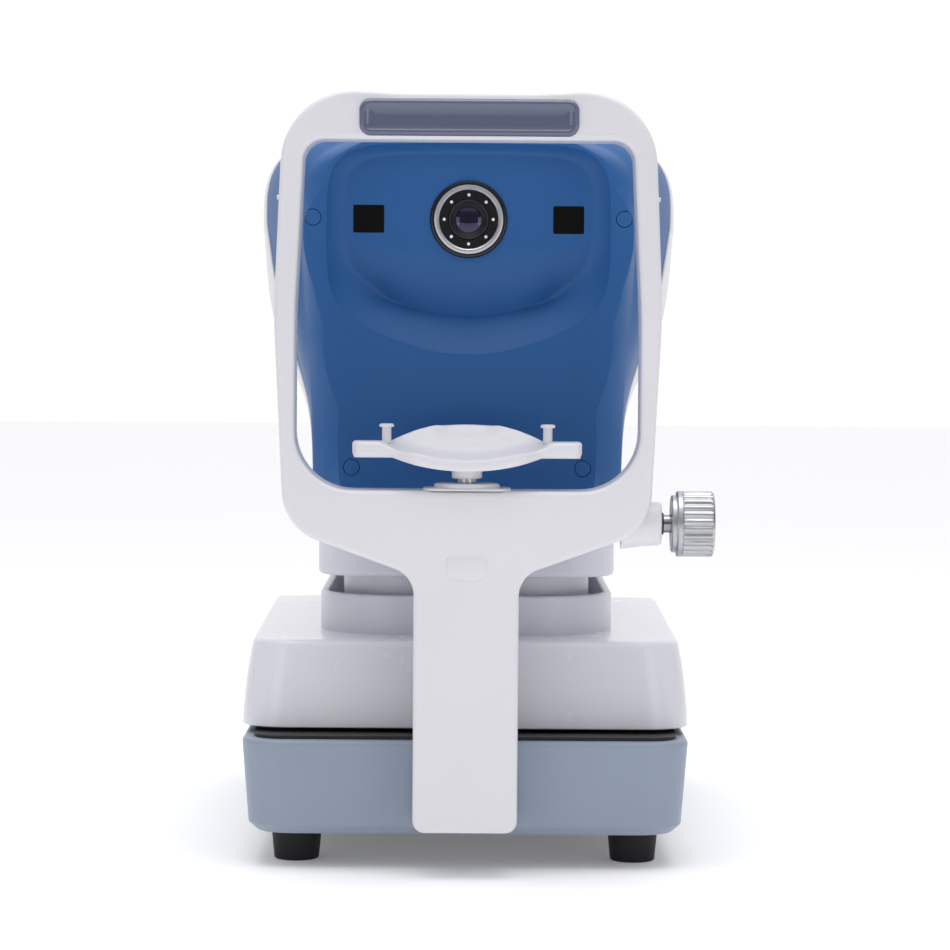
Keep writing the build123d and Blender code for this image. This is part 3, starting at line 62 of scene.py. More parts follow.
# ------------------------------------------------------------------ materials
def srgb(red, green, blue):
    """An 8-bit display colour as a linear one."""
    levels = []
    for value in (red, green, blue):
        share = value / 255
        levels.append(share / 12.92 if share <= 0.04045 else ((share + 0.055) / 1.055) ** 2.4)
    return (*levels, 1.0)


def new_material(name):
    material = bpy.data.materials.new(name)
    material.use_nodes = True
    tree = material.node_tree
    tree.nodes.clear()
    output = tree.nodes.new("ShaderNodeOutputMaterial")
    shader = tree.nodes.new("ShaderNodeBsdfPrincipled")
    tree.links.new(shader.outputs["BSDF"], output.inputs["Surface"])
    return material, tree, shader


def noise(tree, scale, detail=2.0, stretch=(1, 1, 1)):
    """Noise over object coordinates; scale is in features per metre."""
    place = tree.nodes.new("ShaderNodeTexCoord")
    mapping = tree.nodes.new("ShaderNodeMapping")
    mapping.inputs["Scale"].default_value = stretch
    texture = tree.nodes.new("ShaderNodeTexNoise")
    texture.inputs["Scale"].default_value = scale
    texture.inputs["Detail"].default_value = detail
    tree.links.new(place.outputs["Object"], mapping.inputs["Vector"])
    tree.links.new(mapping.outputs["Vector"], texture.inputs["Vector"])
    return texture.outputs["Fac"]


def spread(tree, value, low, high):
    """A noise value turned into the range low to high."""
    ramp = tree.nodes.new("ShaderNodeMapRange")
    ramp.inputs["From Min"].default_value = 0.3
    ramp.inputs["From Max"].default_value = 0.7
    ramp.inputs["To Min"].default_value = low
    ramp.inputs["To Max"].default_value = high
    tree.links.new(value, ramp.inputs["Value"])
    return ramp.outputs["Result"]


def bump(tree, shader, height, distance, after=None):
    """Adds a bump to the shader; distance is its depth in metres."""
    node = tree.nodes.new("ShaderNodeBump")
    node.inputs["Strength"].default_value = 1.0
    node.inputs["Distance"].default_value = distance
    tree.links.new(height, node.inputs["Height"])
    if after is not None:
        tree.links.new(after.outputs["Normal"], node.inputs["Normal"])
    tree.links.new(node.outputs["Normal"], shader.inputs["Normal"])
    return node


def tinted(tree, shader, colour, vary, scale=9.0):
    """Base colour with a slow, faint variation in lightness."""
    mix = tree.nodes.new("ShaderNodeMix")
    mix.data_type = "RGBA"
    mix.inputs["A"].default_value = [channel * (1 - vary) for channel in colour[:3]] + [1]
    mix.inputs["B"].default_value = [min(channel * (1 + vary), 1) for channel in colour[:3]] + [1]
    tree.links.new(spread(tree, noise(tree, scale), 0, 1), mix.inputs["Factor"])
    tree.links.new(mix.outputs["Result"], shader.inputs["Base Color"])


def moulding(name, colour, rough, grain=0.00002, coat=0.0, vary=0.015, specular=0.5, grain_scale=1700):
    """Moulded plastic: fine spark-eroded grain, a slow ripple and uneven gloss."""
    material, tree, shader = new_material(name)
    tinted(tree, shader, colour, vary)
    gloss = spread(tree, noise(tree, 60, 4), rough - 0.012, rough + 0.015)
    tree.links.new(gloss, shader.inputs["Roughness"])
    fine = bump(tree, shader, noise(tree, grain_scale, 3), grain)
    bump(tree, shader, noise(tree, 9, 0), 0.00003, after=fine)
    shader.inputs["Specular IOR Level"].default_value = specular
    shader.inputs["Coat Weight"].default_value = coat
    shader.inputs["Coat Roughness"].default_value = 0.12
    return material


def metal(name, colour, rough, stretch=(1, 1, 1), scale=900, depth=0.000012):
    """Machined or cast metal; stretch draws the noise out into turning or grinding lines."""
    material, tree, shader = new_material(name)
    tinted(tree, shader, colour, 0.05, 120)
    shader.inputs["Metallic"].default_value = 1.0
    gloss = spread(tree, noise(tree, scale, 3, stretch), rough - 0.06, rough + 0.08)
    tree.links.new(gloss, shader.inputs["Roughness"])
    bump(tree, shader, noise(tree, scale, 3, stretch), depth)
    return material


WHITE = moulding("white_moulding", srgb(225, 224, 229), 0.34, coat=0.12)
BLUE = moulding("blue_moulding", srgb(40, 92, 152), 0.46, grain=0.00002, vary=0.02, specular=0.3)
STAGE = moulding("stage_moulding", srgb(222, 222, 229), 0.26, grain=0.000003, coat=0.15)
BLOCK = moulding("block_moulding", srgb(217, 218, 226), 0.36)
BASE = moulding("base_moulding", srgb(143, 155, 172), 0.42, grain=0.00005, vary=0.03)
BLACK = moulding("black_plastic", srgb(24, 25, 29), 0.5, grain=0.00006, vary=0.1)
GLOSS_BLACK = moulding("gloss_black", srgb(14, 14, 17), 0.22, grain=0.000005, vary=0.1)
RUBBER = moulding(
    "foot_rubber", srgb(27, 27, 31), 0.62, grain=0.00012, vary=0.15, specular=0.35, grain_scale=1100
)
SILICONE = moulding("pad_silicone", srgb(92, 97, 122), 0.12, grain=0.000004, coat=0.6, vary=0.03)
GRIP = moulding("grip_rubber", srgb(44, 45, 50), 0.6, grain=0.00016, vary=0.1, grain_scale=900)
SATIN = metal("knob_metal", srgb(186, 187, 190), 0.36, stretch=(14, 1, 1), scale=500)
TRIM = metal("trim_metal", srgb(196, 197, 202), 0.36, scale=1800)
STEEL = metal("ground_steel", srgb(176, 177, 182), 0.24, stretch=(1, 1, 20), scale=300)
CHROME = metal("chrome", srgb(150, 151, 155), 0.12, stretch=(20, 1, 1), scale=260, depth=0.000003)
CAST = metal("cast_metal", srgb(150, 152, 156), 0.5, scale=700, depth=0.00008)
BRONZE = metal("bearing_bronze", srgb(166, 128, 76), 0.4, scale=1500, depth=0.00003)
PAPER = moulding("thermal_paper", srgb(238, 236, 230), 0.75, grain=0.00002, specular=0.2)
BOARD = moulding("board_green", srgb(24, 92, 58), 0.35, grain=0.00001, vary=0.12)
WINDOW = moulding("window_black", srgb(4, 4, 6), 0.35, grain=0.000002, specular=0.15)
SCREEN = moulding("screen_glass", srgb(13, 15, 20), 0.06, grain=0.000001, coat=1.0)
LAMP = moulding("lamp_clear", srgb(240, 240, 244), 0.12, grain=0.000002, coat=0.6)


def coated_glass():
    """The objective: dark glass with a faint violet reflection."""
    material, tree, shader = new_material("objective_glass")
    tinted(tree, shader, srgb(18, 16, 26), 0.2, 60)
    shader.inputs["Roughness"].default_value = 0.04
    shader.inputs["Specular IOR Level"].default_value = 0.9
    shader.inputs["Specular Tint"].default_value = srgb(190, 176, 240)
    shader.inputs["Coat Weight"].default_value = 0.7
    shader.inputs["Coat Roughness"].default_value = 0.02
    shader.inputs["Coat Tint"].default_value = srgb(205, 190, 250)
    bump(tree, shader, noise(tree, 40, 1), 0.00001)
    return material


GLASS = coated_glass()


# ------------------------------------------------------------------ mesh helpers
SHARP = 32  # edges that turn by more degrees than this stay crisp


def fillet_path(points, closed=False, steps=7):
    """A path through (a, b, radius) points, with each corner rounded to its radius."""
    path = []
    count = len(points)
    for i, (a, b, radius) in enumerate(points):
        corner = Vector((a, b))
        if radius <= 0 or (not closed and i in (0, count - 1)):
            path.append((a, b))
            continue
        before = Vector(points[i - 1][:2]) - corner
        after = Vector(points[(i + 1) % count][:2]) - corner
        half = before.angle(after) / 2
        reach = radius / math.tan(half)
        start = corner + before.normalized() * reach
        end = corner + after.normalized() * reach
        inward = (before.normalized() + after.normalized()).normalized()
        centre = corner + inward * (radius / math.sin(half))
        turn = (start - centre).angle_signed(end - centre)
        for step in range(steps + 1):
            arm = (start - centre).copy()
            arm.rotate(Matrix.Rotation(-turn * step / steps, 2))
            path.append(tuple(centre + arm))
    return path


def make_piece(name, vertices, faces, material, body, replaced=(), sharp=SHARP):
    """A mesh in bench millimetres becomes a piece that rides on a body."""
    mesh = bpy.data.meshes.new(name)
    mesh.from_pydata([at(*v) for v in vertices], [], faces)
    piece = bpy.data.objects.new(name, mesh)
    bpy.context.scene.collection.objects.link(piece)
    return finish_piece(piece, material, body, replaced, sharp)


def finish_piece(piece, material, body, replaced=(), sharp=SHARP):
    mesh = piece.data
    tidy = bmesh.new()
    tidy.from_mesh(mesh)
    bmesh.ops.remove_doubles(tidy, verts=tidy.verts, dist=1e-7)
    bmesh.ops.recalc_face_normals(tidy, faces=tidy.faces)
    tidy.to_mesh(mesh)
    tidy.free()
    mesh.polygons.foreach_set("use_smooth", [True] * len(mesh.polygons))
    mesh.set_sharp_from_angle(angle=math.radians(sharp))
    mesh.materials.clear()
    mesh.materials.append(material)
    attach(piece, body)
    if replaced:
        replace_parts(piece, *replaced)
    return piece


def ring_faces(ring_count, ring_size, close_rings=False):
    """Quads between neighbouring rings of equal size."""
    faces = []
    for i in range(ring_count if close_rings else ring_count - 1):
        low = i * ring_size
        high = ((i + 1) % ring_count) * ring_size
        for j in range(ring_size):
            k = (j + 1) % ring_size
            faces.append((low + j, low + k, high + k, high + j))
    return faces


def ring_piece(
    name, rings, material, body, slot, replaced=(), caps=(False, False), closed=False, sharp=SHARP
):
    """A skin over rings of (x, y, z) points."""
    size = len(rings[0])
    vertices = [point for ring in rings for point in ring]
    faces = ring_faces(len(rings), size, closed)
    if caps[0]:
        faces.append(tuple(reversed(range(size))))
    if caps[1]:
        faces.append(tuple(range(len(vertices) - size, len(vertices))))
    return make_piece(name, vertices, faces, material, body, replaced, sharp)


def lathe(
    name, profile, centre, axis, material, body, slot, replaced=(), segments=96, closed=True, flute=None
):
    """Turns (radius, distance) points about an axis through centre; flute trims the radius by angle."""
    rings = []
    for radius, along in profile:
        ring = []
        for i in range(segments):
            angle = 2 * math.pi * i / segments
            reach = radius if flute is None else flute(radius, along, angle)
            a, b = reach * math.cos(angle), reach * math.sin(angle)
            if axis == "x":
                ring.append((centre[0] + along, centre[1] + a, centre[2] + b))
            elif axis == "y":
                ring.append((centre[0] + a, centre[1] + along, centre[2] + b))
            else:
                ring.append((centre[0] + a, centre[1] + b, centre[2] + along))
        rings.append(ring)
    return ring_piece(name, rings, material, body, slot, replaced, closed=closed)


def cut(piece, cutters):
    """Takes closed cutter meshes out of a piece and drops them."""
    for cutter in cutters:
        boolean = piece.modifiers.new("cut", "BOOLEAN")
        boolean.operation = "DIFFERENCE"
        boolean.solver = "EXACT"
        boolean.object = cutter
    bpy.context.view_layer.update()
    evaluated = piece.evaluated_get(bpy.context.evaluated_depsgraph_get())
    mesh = bpy.data.meshes.new_from_object(evaluated)
    piece.modifiers.clear()
    piece.data = mesh
    for cutter in cutters:
        bpy.data.objects.remove(cutter)
    mesh.polygons.foreach_set("use_smooth", [True] * len(mesh.polygons))
    mesh.set_sharp_from_angle(angle=math.radians(SHARP))


def into_x(a, b, depth):
    return (depth, a, b)


def into_y(a, b, depth):
    return (a, depth, b)


def into_z(a, b, depth):
    return (a, b, depth)


def cutter_prism(outline, start, end, place):
    """A closed prism over an outline; place(a, b, depth) gives bench coordinates."""
    count = len(outline)
    vertices = [at(*place(a, b, depth)) for depth in (start, end) for a, b in outline]
    faces = ring_faces(2, count) + [tuple(reversed(range(count))), tuple(range(count, 2 * count))]
    mesh = bpy.data.meshes.new("cutter")
    mesh.from_pydata(vertices, [], faces)
    tidy = bmesh.new()
    tidy.from_mesh(mesh)
    bmesh.ops.recalc_face_normals(tidy, faces=tidy.faces)
    tidy.to_mesh(mesh)
    tidy.free()
    cutter = bpy.data.objects.new("cutter", mesh)
    bpy.context.scene.collection.objects.link(cutter)
    return cutter


def circle(centre_a, centre_b, radius, count=64):
    points = []
    for i in range(count):
        angle = 2 * math.pi * i / count
        points.append((centre_a + radius * math.cos(angle), centre_b + radius * math.sin(angle)))
    return points


def rectangle(centre_a, centre_b, wide, tall, radius, steps=5):
    """A rounded rectangle, anticlockwise."""
    a, b = wide / 2, tall / 2
    corners = [(-a, -b), (a, -b), (a, b), (-a, b)]
    return fillet_path([(centre_a + x, centre_b + y, radius) for x, y in corners], True, steps)


def hermite(knots, values, x):
    """Smooth interpolation through the knots, with finite-difference slopes."""
    knots, values, x = np.asarray(knots, float), np.asarray(values, float), np.asarray(x, float)
    slopes = np.gradient(values, knots)
    i = np.clip(np.searchsorted(knots, x) - 1, 0, len(knots) - 2)
    span = knots[i + 1] - knots[i]
    t = np.clip((x - knots[i]) / span, 0, 1)
    return (
        (2 * t**3 - 3 * t**2 + 1) * values[i]
        + (t**3 - 2 * t**2 + t) * span * slopes[i]
        + (3 * t**2 - 2 * t**3) * values[i + 1]
        + (t**3 - t**2) * span * slopes[i + 1]
    )


def smoothstep(low, high, x):
    t = np.clip((np.asarray(x, float) - low) / (high - low), 0, 1)
    return t * t * (3 - 2 * t)


# ------------------------------------------------------------------ head
LENS_Z = 376.5
HEAD_LOW = 208.0
TEMPLE_Z = 375.0
# Half-widths at the chin, jaw, cheek and temple, and the crown's height, at places front to back.
HEAD_PLACES = (92, 100, 140, 185, 260, 340, 388)
HEAD_CHIN = (90.5, 91, 91, 91, 91, 90.5, 88)
HEAD_JAW = (92, 93, 95, 97.5, 98, 96, 92)
HEAD_CHEEK = (96, 100, 109, 118.5, 118, 112.5, 105)
HEAD_TEMPLE = (100, 105, 117, 125, 124.5, 119.5, 112)
HEAD_CROWN = (428, 432, 436.5, 438, 437, 435, 431)
CROWN_POWER = 3.4
HEAD_FRONT = 75.0
HEAD_REAR = 388.0
SHOULDER_Y = 92.0
# The seam between the covers: its depth at the chin, and how much it leans back over the head's height.
SEAM_LOW = 122.0
SEAM_LEAN = 66.0 / 230.0
PANEL_Y = 81.6
BEZEL_HOLE_R = 22.7
CAP_PLACES = ((-91, 377), (91, 377), (-67.7, 231), (67.7, 231))
CAP_POCKET_R = 4.95
CAP_POCKET_Y = 77.6
WINDOW_X = 58.6
WINDOW_WIDE = 17.8
WINDOW_TALL = 15.9
WINDOW_GAP = 0.4
WINDOW_Y = 84.4
COVER_EDGE = 0.7
HOUSING_PROUD = 1.4
HOUSING_ROUND = 16.0
LOUVRE_Y = 290.0
LOUVRE_HEIGHTS = (300, 309, 318, 327)


def mirrored(side):
    """A closed outline from its right half, listed from the bottom to the top."""
    return [(-x, z) for x, z in reversed(side) if x > 1e-6] + [(x, z) for x, z in side]


def head_outline(y):
    """The head's outline at a depth, as many (x, z) points."""
    widths = [float(hermite(HEAD_PLACES, row, y)) for row in (HEAD_CHIN, HEAD_JAW, HEAD_CHEEK, HEAD_TEMPLE)]
    crown = float(hermite(HEAD_PLACES, HEAD_CROWN, y))
    heights = np.linspace(HEAD_LOW, TEMPLE_Z, 60)
    flank = hermite((HEAD_LOW, 262, 320, TEMPLE_Z), widths, heights)
    side = fillet_path([(0, HEAD_LOW, 0), (flank[0], HEAD_LOW, 7), (flank[8], heights[8], 0)])
    side += list(zip(flank[9:], heights[9:]))
    for angle in np.linspace(0, math.pi / 2, 70)[1:]:
        x = widths[3] * math.cos(angle) ** (2 / CROWN_POWER)
        z = TEMPLE_Z + (crown - TEMPLE_Z) * math.sin(angle) ** (2 / CROWN_POWER)
        side.append((max(x, 0), z))
    return mirrored(side)


def smooth_side(points, steps=8):
    """A right-half outline through given points, rounded by a Catmull-Rom curve."""
    first = (-points[1][0], points[1][1])
    last = (-points[-2][0], points[-2][1])
    run = [first] + list(points) + [last]
    side = []
    for i in range(1, len(run) - 2):
        p0, p1, p2, p3 = (np.array(run[i + k], float) for k in (-1, 0, 1, 2))
        for step in range(steps):
            t = step / steps
            bend = (2 * p0 - 5 * p1 + 4 * p2 - p3) * t**2
            twist = (3 * p1 - p0 - 3 * p2 + p3) * t**3
            side.append(tuple(0.5 * (2 * p1 + (p2 - p0) * t + bend + twist)))
    side.append(points[-1])
    return [(max(x, 0), z) for x, z in side]


# The flat land of the front face, the scoop's rim, and the edge of the scoop's floor.
LAND = fillet_path(
    [
        (0, HEAD_LOW + 3, 0), (74, HEAD_LOW + 3, 6), (76, 262, 60), (85.5, 315, 80), (90.5, 336, 60),
        (96.4, 358, 30), (96.6, 375, 10), (85.5, 396, 16), (80, 412, 14), (62, 421.5, 16), (0, 423.5, 0),
    ]
)
RIM = smooth_side(
    [
        (0, 297.5), (22, 299.6), (49, 308.2), (67, 317.6), (76.5, 327), (81.3, 339), (82.8, 356), (83, 376),
        (82.4, 393), (79.5, 405), (72, 414), (60, 418.5), (40, 420), (0, 420.6),
    ]
)
FLOOR = smooth_side(
    [
        (0, 319.7), (27, 322.8), (46.7, 328.8), (58.5, 335.8), (66, 346), (70.5, 358), (72, 376),
        (71.4, 392), (68, 403), (60, 410), (46, 413), (0, 414),
    ]
)


def reach_of(outline, angles):
    """Distances from the lens centre to a closed outline, at each angle."""
    points = np.array(outline, float) - np.array((0, LENS_Z))
    around = np.arctan2(points[:, 1], points[:, 0]) % (2 * math.pi)
    distance = np.hypot(points[:, 0], points[:, 1])
    order = np.argsort(around)
    around, distance = around[order], distance[order]
    around = np.concatenate((around[-3:] - 2 * math.pi, around, around[:3] + 2 * math.pi))
    distance = np.concatenate((distance[-3:], distance, distance[:3]))
    return np.interp(angles, around, distance)


def even_angles(outline, count):
    """Angles about the lens centre of points spaced evenly along an outline."""
    points = np.array(outline, float)
    closed = np.vstack((points, points[:1]))
    steps = np.hypot(*np.diff(closed, axis=0).T)
    walked = np.concatenate(([0], np.cumsum(steps)))
    places = np.linspace(0, walked[-1], count, endpoint=False)
    x = np.interp(places, walked, closed[:, 0])
    z = np.interp(places, walked, closed[:, 1]) - LENS_Z
    return np.sort(np.arctan2(z, x) % (2 * math.pi))


ANGLES = even_angles(head_outline(110), 460)
COS, SIN = np.cos(ANGLES), np.sin(ANGLES)


def polar_ring(reach, y):
    """A ring about the lens axis; y is one depth or one for each angle."""
    depth = np.broadcast_to(y, reach.shape)
    return list(zip(reach * COS, depth, LENS_Z + reach * SIN))


HEAD_DEPTHS = np.concatenate((np.arange(92, 200, 4.0), np.arange(200, HEAD_REAR + 1, 8.0), [HEAD_REAR]))
HEAD_DEPTHS = np.unique(HEAD_DEPTHS)
HEAD_REACHES = np.array([reach_of(head_outline(depth), ANGLES) for depth in HEAD_DEPTHS])


def reach_at(depths):
    """The head's reach at each angle, at that angle's own depth."""
    return np.array([np.interp(depth, HEAD_DEPTHS, HEAD_REACHES[:, i]) for i, depth in enumerate(depths)])


def seam_depths():
    """Where the leaning seam crosses the head's side at each angle."""
    depths = np.full(len(ANGLES), 150.0)
    for _ in range(6):
        depths = SEAM_LOW + (LENS_Z + reach_at(depths) * SIN - HEAD_LOW) * SEAM_LEAN
    return depths


SEAM = seam_depths()


def scoop_depth(x, z):
    """Depth of the scoop's floor: level round the lens, tucking under towards the valley."""
    tuck = 349.0 + 10.0 * (np.abs(x) / 68) ** 2
    valley = 319.7 + 26.0 * (np.abs(x) / 66) ** 2.6
    tucked = np.clip((tuck + 6 - z) / (tuck + 6 - valley), 0, 1)
    fade = 1 - 0.65 * smoothstep(46, 72, np.abs(x))
    return 82.0 + 12.5 * fade * tucked ** 1.7


def front_cover():
    """From the seam over the rounded shoulder, the flat land and the scoop to the lens opening."""
    rings = []
    rear = reach_at(SEAM)
    rings.append(polar_ring(rear - 3.0, SEAM + 1.0))
    rings.append(polar_ring(rear - 0.2, SEAM + 0.4))
    for share in np.linspace(0, 1, 26):
        depths = SEAM * (1 - share) + SHOULDER_Y * share
        rings.append(polar_ring(reach_at(depths), depths))
    shoulder = reach_at(np.full(len(ANGLES), SHOULDER_Y))
    land = reach_of(mirrored(LAND), ANGLES)
    rim = reach_of(mirrored(RIM), ANGLES)
    floor = reach_of(mirrored(FLOOR), ANGLES)
    land = np.maximum(land, rim + 1.6)
    for share in (0.12, 0.3, 0.5, 0.7, 0.86, 0.95, 1.0):
        bulge = 1.8 * math.sin(math.pi * share)
        depth = SHOULDER_Y + (HEAD_FRONT + 0.4 - SHOULDER_Y) * share - bulge
        rings.append(polar_ring(shoulder + (land - shoulder) * share, depth))
    rings.append(polar_ring(land - COVER_EDGE, HEAD_FRONT))
    for share in (0.06, 0.3, 0.6, 0.9, 1.0):
        reach = land - COVER_EDGE + (rim - land + 2 * COVER_EDGE) * share
        rings.append(polar_ring(reach, HEAD_FRONT))
    rings.append(polar_ring(rim + 0.1, HEAD_FRONT + 0.1))
    rings.append(polar_ring(rim - 0.2, HEAD_FRONT + 0.45))
    below = smoothstep(-0.2, -0.75, SIN)
    for share in np.linspace(0.05, 1, 16):
        reach = rim - 0.1 + (floor - rim + 0.1) * share
        target = scoop_depth(floor * COS, LENS_Z + floor * SIN)
        ease = (1 - (1 - share) ** 1.9) * (1 - below) + share * below
        rings.append(polar_ring(reach, HEAD_FRONT + 0.5 + (target - HEAD_FRONT - 0.5) * ease))
    for share in np.concatenate((np.linspace(0.03, 0.5, 16), np.linspace(0.55, 1, 10))):
        reach = floor + (BEZEL_HOLE_R - floor) * share
        depth = scoop_depth(reach * COS, LENS_Z + reach * SIN)
        depth = depth + (PANEL_Y - depth) * smoothstep(0.75, 1.0, share)
        rings.append(polar_ring(reach, depth))
    rings.append(polar_ring(np.full(len(ANGLES), BEZEL_HOLE_R), PANEL_Y + 14))
    piece = ring_piece("front_cover_skin", rings, BLUE, "head", "blue_moulding", ("front_cover",), sharp=26)
    cutters = []
    for side in (-1, 1):
        window = rectangle(side * WINDOW_X, LENS_Z, WINDOW_WIDE + WINDOW_GAP, WINDOW_TALL + WINDOW_GAP, 1.2)
        cutters.append(cutter_prism(window, HEAD_FRONT - 5, WINDOW_Y, into_y))
    for x, z in CAP_PLACES:
        cutters.append(cutter_prism(circle(x, z, CAP_POCKET_R, 48), HEAD_FRONT - 5, CAP_POCKET_Y, into_y))
    cut(piece, cutters)


front_cover()


def head_housing():
    """From the seam to the rounded rear, a little prouder than the front cover."""
    rear = reach_at(SEAM)
    rings = [
        polar_ring(rear - 3.2, SEAM + 6),
        polar_ring(rear - 0.7, SEAM + 1.0),
        polar_ring(rear + 0.5, SEAM + 0.45),
        polar_ring(rear + 1.1, SEAM + 0.7),
        polar_ring(rear + HOUSING_PROUD, SEAM + 1.5),
    ]
    last_y = HEAD_REAR - HOUSING_ROUND
    for share in np.linspace(0.02, 1, 34):
        depths = SEAM * (1 - share) + last_y * share
        rings.append(polar_ring(reach_at(depths) + HOUSING_PROUD, depths))
    last = reach_at(np.full(len(ANGLES), last_y)) + HOUSING_PROUD
    for turn in np.linspace(0, math.pi / 2, 9)[1:]:
        reach = last - HOUSING_ROUND * (1 - math.cos(turn))
        rings.append(polar_ring(reach, last_y + HOUSING_ROUND * math.sin(turn)))
    piece = ring_piece(
        "head_housing_skin", rings, WHITE, "head", "white_moulding", ("head_housing",), (False, True)
    )
    louvres = []
    for z in LOUVRE_HEIGHTS:
        outline = rectangle(LOUVRE_Y, z, 62, 3.2, 1.5)
        louvres.append(cutter_prism(outline, -140, -100, into_x))
        louvres.append(cutter_prism(outline, 100, 140, into_x))
    cut(piece, louvres)


head_housing()


# ------------------------------------------------------------------ face support
ARCH_DEPTH = 34.0
CHIN_Y = 15.0
KNOB_Y = 24.5
KNOB_Z = 202.0
ARCH_HALF_SIDE = [
    (0, 26.7, 0), (29.7, 26.7, 7), (29.7, 172.7, 16), (103.5, 199.3, 30), (109.5, 320, 300),
    (104.2, 448.5, 42), (40, 445, 200), (0, 445, 0),
]
OPENING_SIDE = [(0, 221, 0), (97.5, 221, 33), (97.5, 320, 400), (92.6, 418.3, 12), (0, 418.3, 0)]
ARCH_EDGE = 3.2
# The crease across each end of the brow bar, and how far the bar leans back inside it.
BROW_OUTER = (67.8, 444.0)
BROW_INNER = (88.6, 416.4)
BROW_LOW = 410.0
BROW_SLOPE = 0.055
BROW_REACH = 30.0


def filled_plate(name, outlines, front, back, edge):
    """A plate facing the patient, with a rounded edge all round; outlines after the first are openings."""
    curve = bpy.data.curves.new(name, "CURVE")
    curve.dimensions = "2D"
    curve.fill_mode = "BOTH"
    curve.extrude = (back - front) / 2 - edge
    curve.bevel_depth = edge
    curve.bevel_resolution = 4
    curve.offset = -edge
    for outline in outlines:
        spline = curve.splines.new("POLY")
        spline.points.add(len(outline) - 1)
        for point, (x, z) in zip(spline.points, outline):
            point.co = (x, z, 0, 1)
        spline.use_cyclic_u = True
    holder = bpy.data.objects.new(name, curve)
    bpy.context.scene.collection.objects.link(holder)
    bpy.context.view_layer.update()
    mesh = bpy.data.meshes.new_from_object(holder.evaluated_get(bpy.context.evaluated_depsgraph_get()))
    bpy.data.objects.remove(holder)
    middle = (front + back) / 2
    for vertex in mesh.vertices:
        x, z, depth = vertex.co
        vertex.co = (x, middle + depth, z)
    return mesh


def dense(outline, longest=6.0):
    """The outline with its long edges divided."""
    result = []
    for i, point in enumerate(outline):
        after = outline[(i + 1) % len(outline)]
        parts = max(1, math.ceil(math.dist(point, after) / longest))
        for k in range(parts):
            share = k / parts
            a = point[0] + (after[0] - point[0]) * share
            b = point[1] + (after[1] - point[1]) * share
            result.append((a, b))
    return result


def divided(outline, parts):
    """The outline with each edge over 40 mm cut into the same number of parts."""
    result = []
    for i, (x, y) in enumerate(outline):
        after = outline[(i + 1) % len(outline)]
        count = parts if math.dist((x, y), after) > 40 else 1
        for k in range(count):
            result.append((x + (after[0] - x) * k / count, y + (after[1] - y) * k / count))
    return result


def brow_lean(x, z):
    """How far the brow bar's face is set back."""
    lean = (BROW_INNER[0] - BROW_OUTER[0]) / (BROW_OUTER[1] - BROW_INNER[1])
    inside = BROW_OUTER[0] + (BROW_OUTER[1] - z) * lean - abs(x)
    return BROW_SLOPE * max(0, min(inside, BROW_REACH))


def face_support():
    """The leg, cross bar, posts and brow bar as one plate, creased and leaned back at the brow."""
    outline = dense(mirrored(fillet_path(ARCH_HALF_SIDE, steps=14)))
    opening = dense(mirrored(fillet_path(OPENING_SIDE, steps=12)))
    mesh = filled_plate("face_support_skin", (outline, opening), 0, ARCH_DEPTH, ARCH_EDGE)
    work = bmesh.new()
    work.from_mesh(mesh)
    bmesh.ops.remove_doubles(work, verts=work.verts, dist=1e-3)
    for side in (-1, 1):
        along = Vector((side * (BROW_INNER[0] - BROW_OUTER[0]), 0, BROW_INNER[1] - BROW_OUTER[1]))
        normal = along.cross(Vector((0, 1, 0)))
        upper = [f for f in work.faces if f.calc_center_median().z > 380]
        edges = {e for f in upper for e in f.edges}
        corners = {v for f in upper for v in f.verts}
        crease = (side * BROW_OUTER[0], 0, BROW_OUTER[1])
        bmesh.ops.bisect_plane(work, geom=[*upper, *edges, *corners], plane_co=crease, plane_no=normal)
    for vertex in work.verts:
        x, y, z = vertex.co
        if z > BROW_LOW:
            vertex.co.y = y + brow_lean(x, z) * (1 - y / ARCH_DEPTH)
    for vertex in work.verts:
        vertex.co = at(*vertex.co)
    work.to_mesh(mesh)
    work.free()
    piece = bpy.data.objects.new("face_support_skin", mesh)
    bpy.context.scene.collection.objects.link(piece)
    finish_piece(piece, WHITE, "base", ("face_support",), 26)
    shaft_hole = cutter_prism(circle(KNOB_Y, KNOB_Z, 6.5), 90, 125, into_x)
    post_hole = cutter_prism(circle(0, CHIN_Y, 6), 205, 230, into_z)
    cut(piece, [shaft_hole, post_hole])


face_support()


def leg_crest():
    """A low raised crescent at the top of the leg: flat above, bowed below."""
    rings = []
    for inset, depth in ((0, 0.6), (0, 0), (0.25, -0.35), (0.9, -0.75), (1.3, -0.85)):
        half, top, side, sag = 11.6 - inset, 183.6 - inset, 175.2, 4.4 - inset
        outline = [(-half, side), (-half, top - 1.2), (1.2 - half, top)]
        outline += [(half - 1.2, top), (half, top - 1.2), (half, side)]
        for k in range(1, 20):
            turn = math.pi * k / 20
            outline.append((half * math.cos(turn), side - sag * math.sin(turn)))
        rings.append([(a, depth, b) for a, b in outline])
    ring_piece("leg_crest", rings, WHITE, "base", "white_moulding", caps=(True, True))


leg_crest()


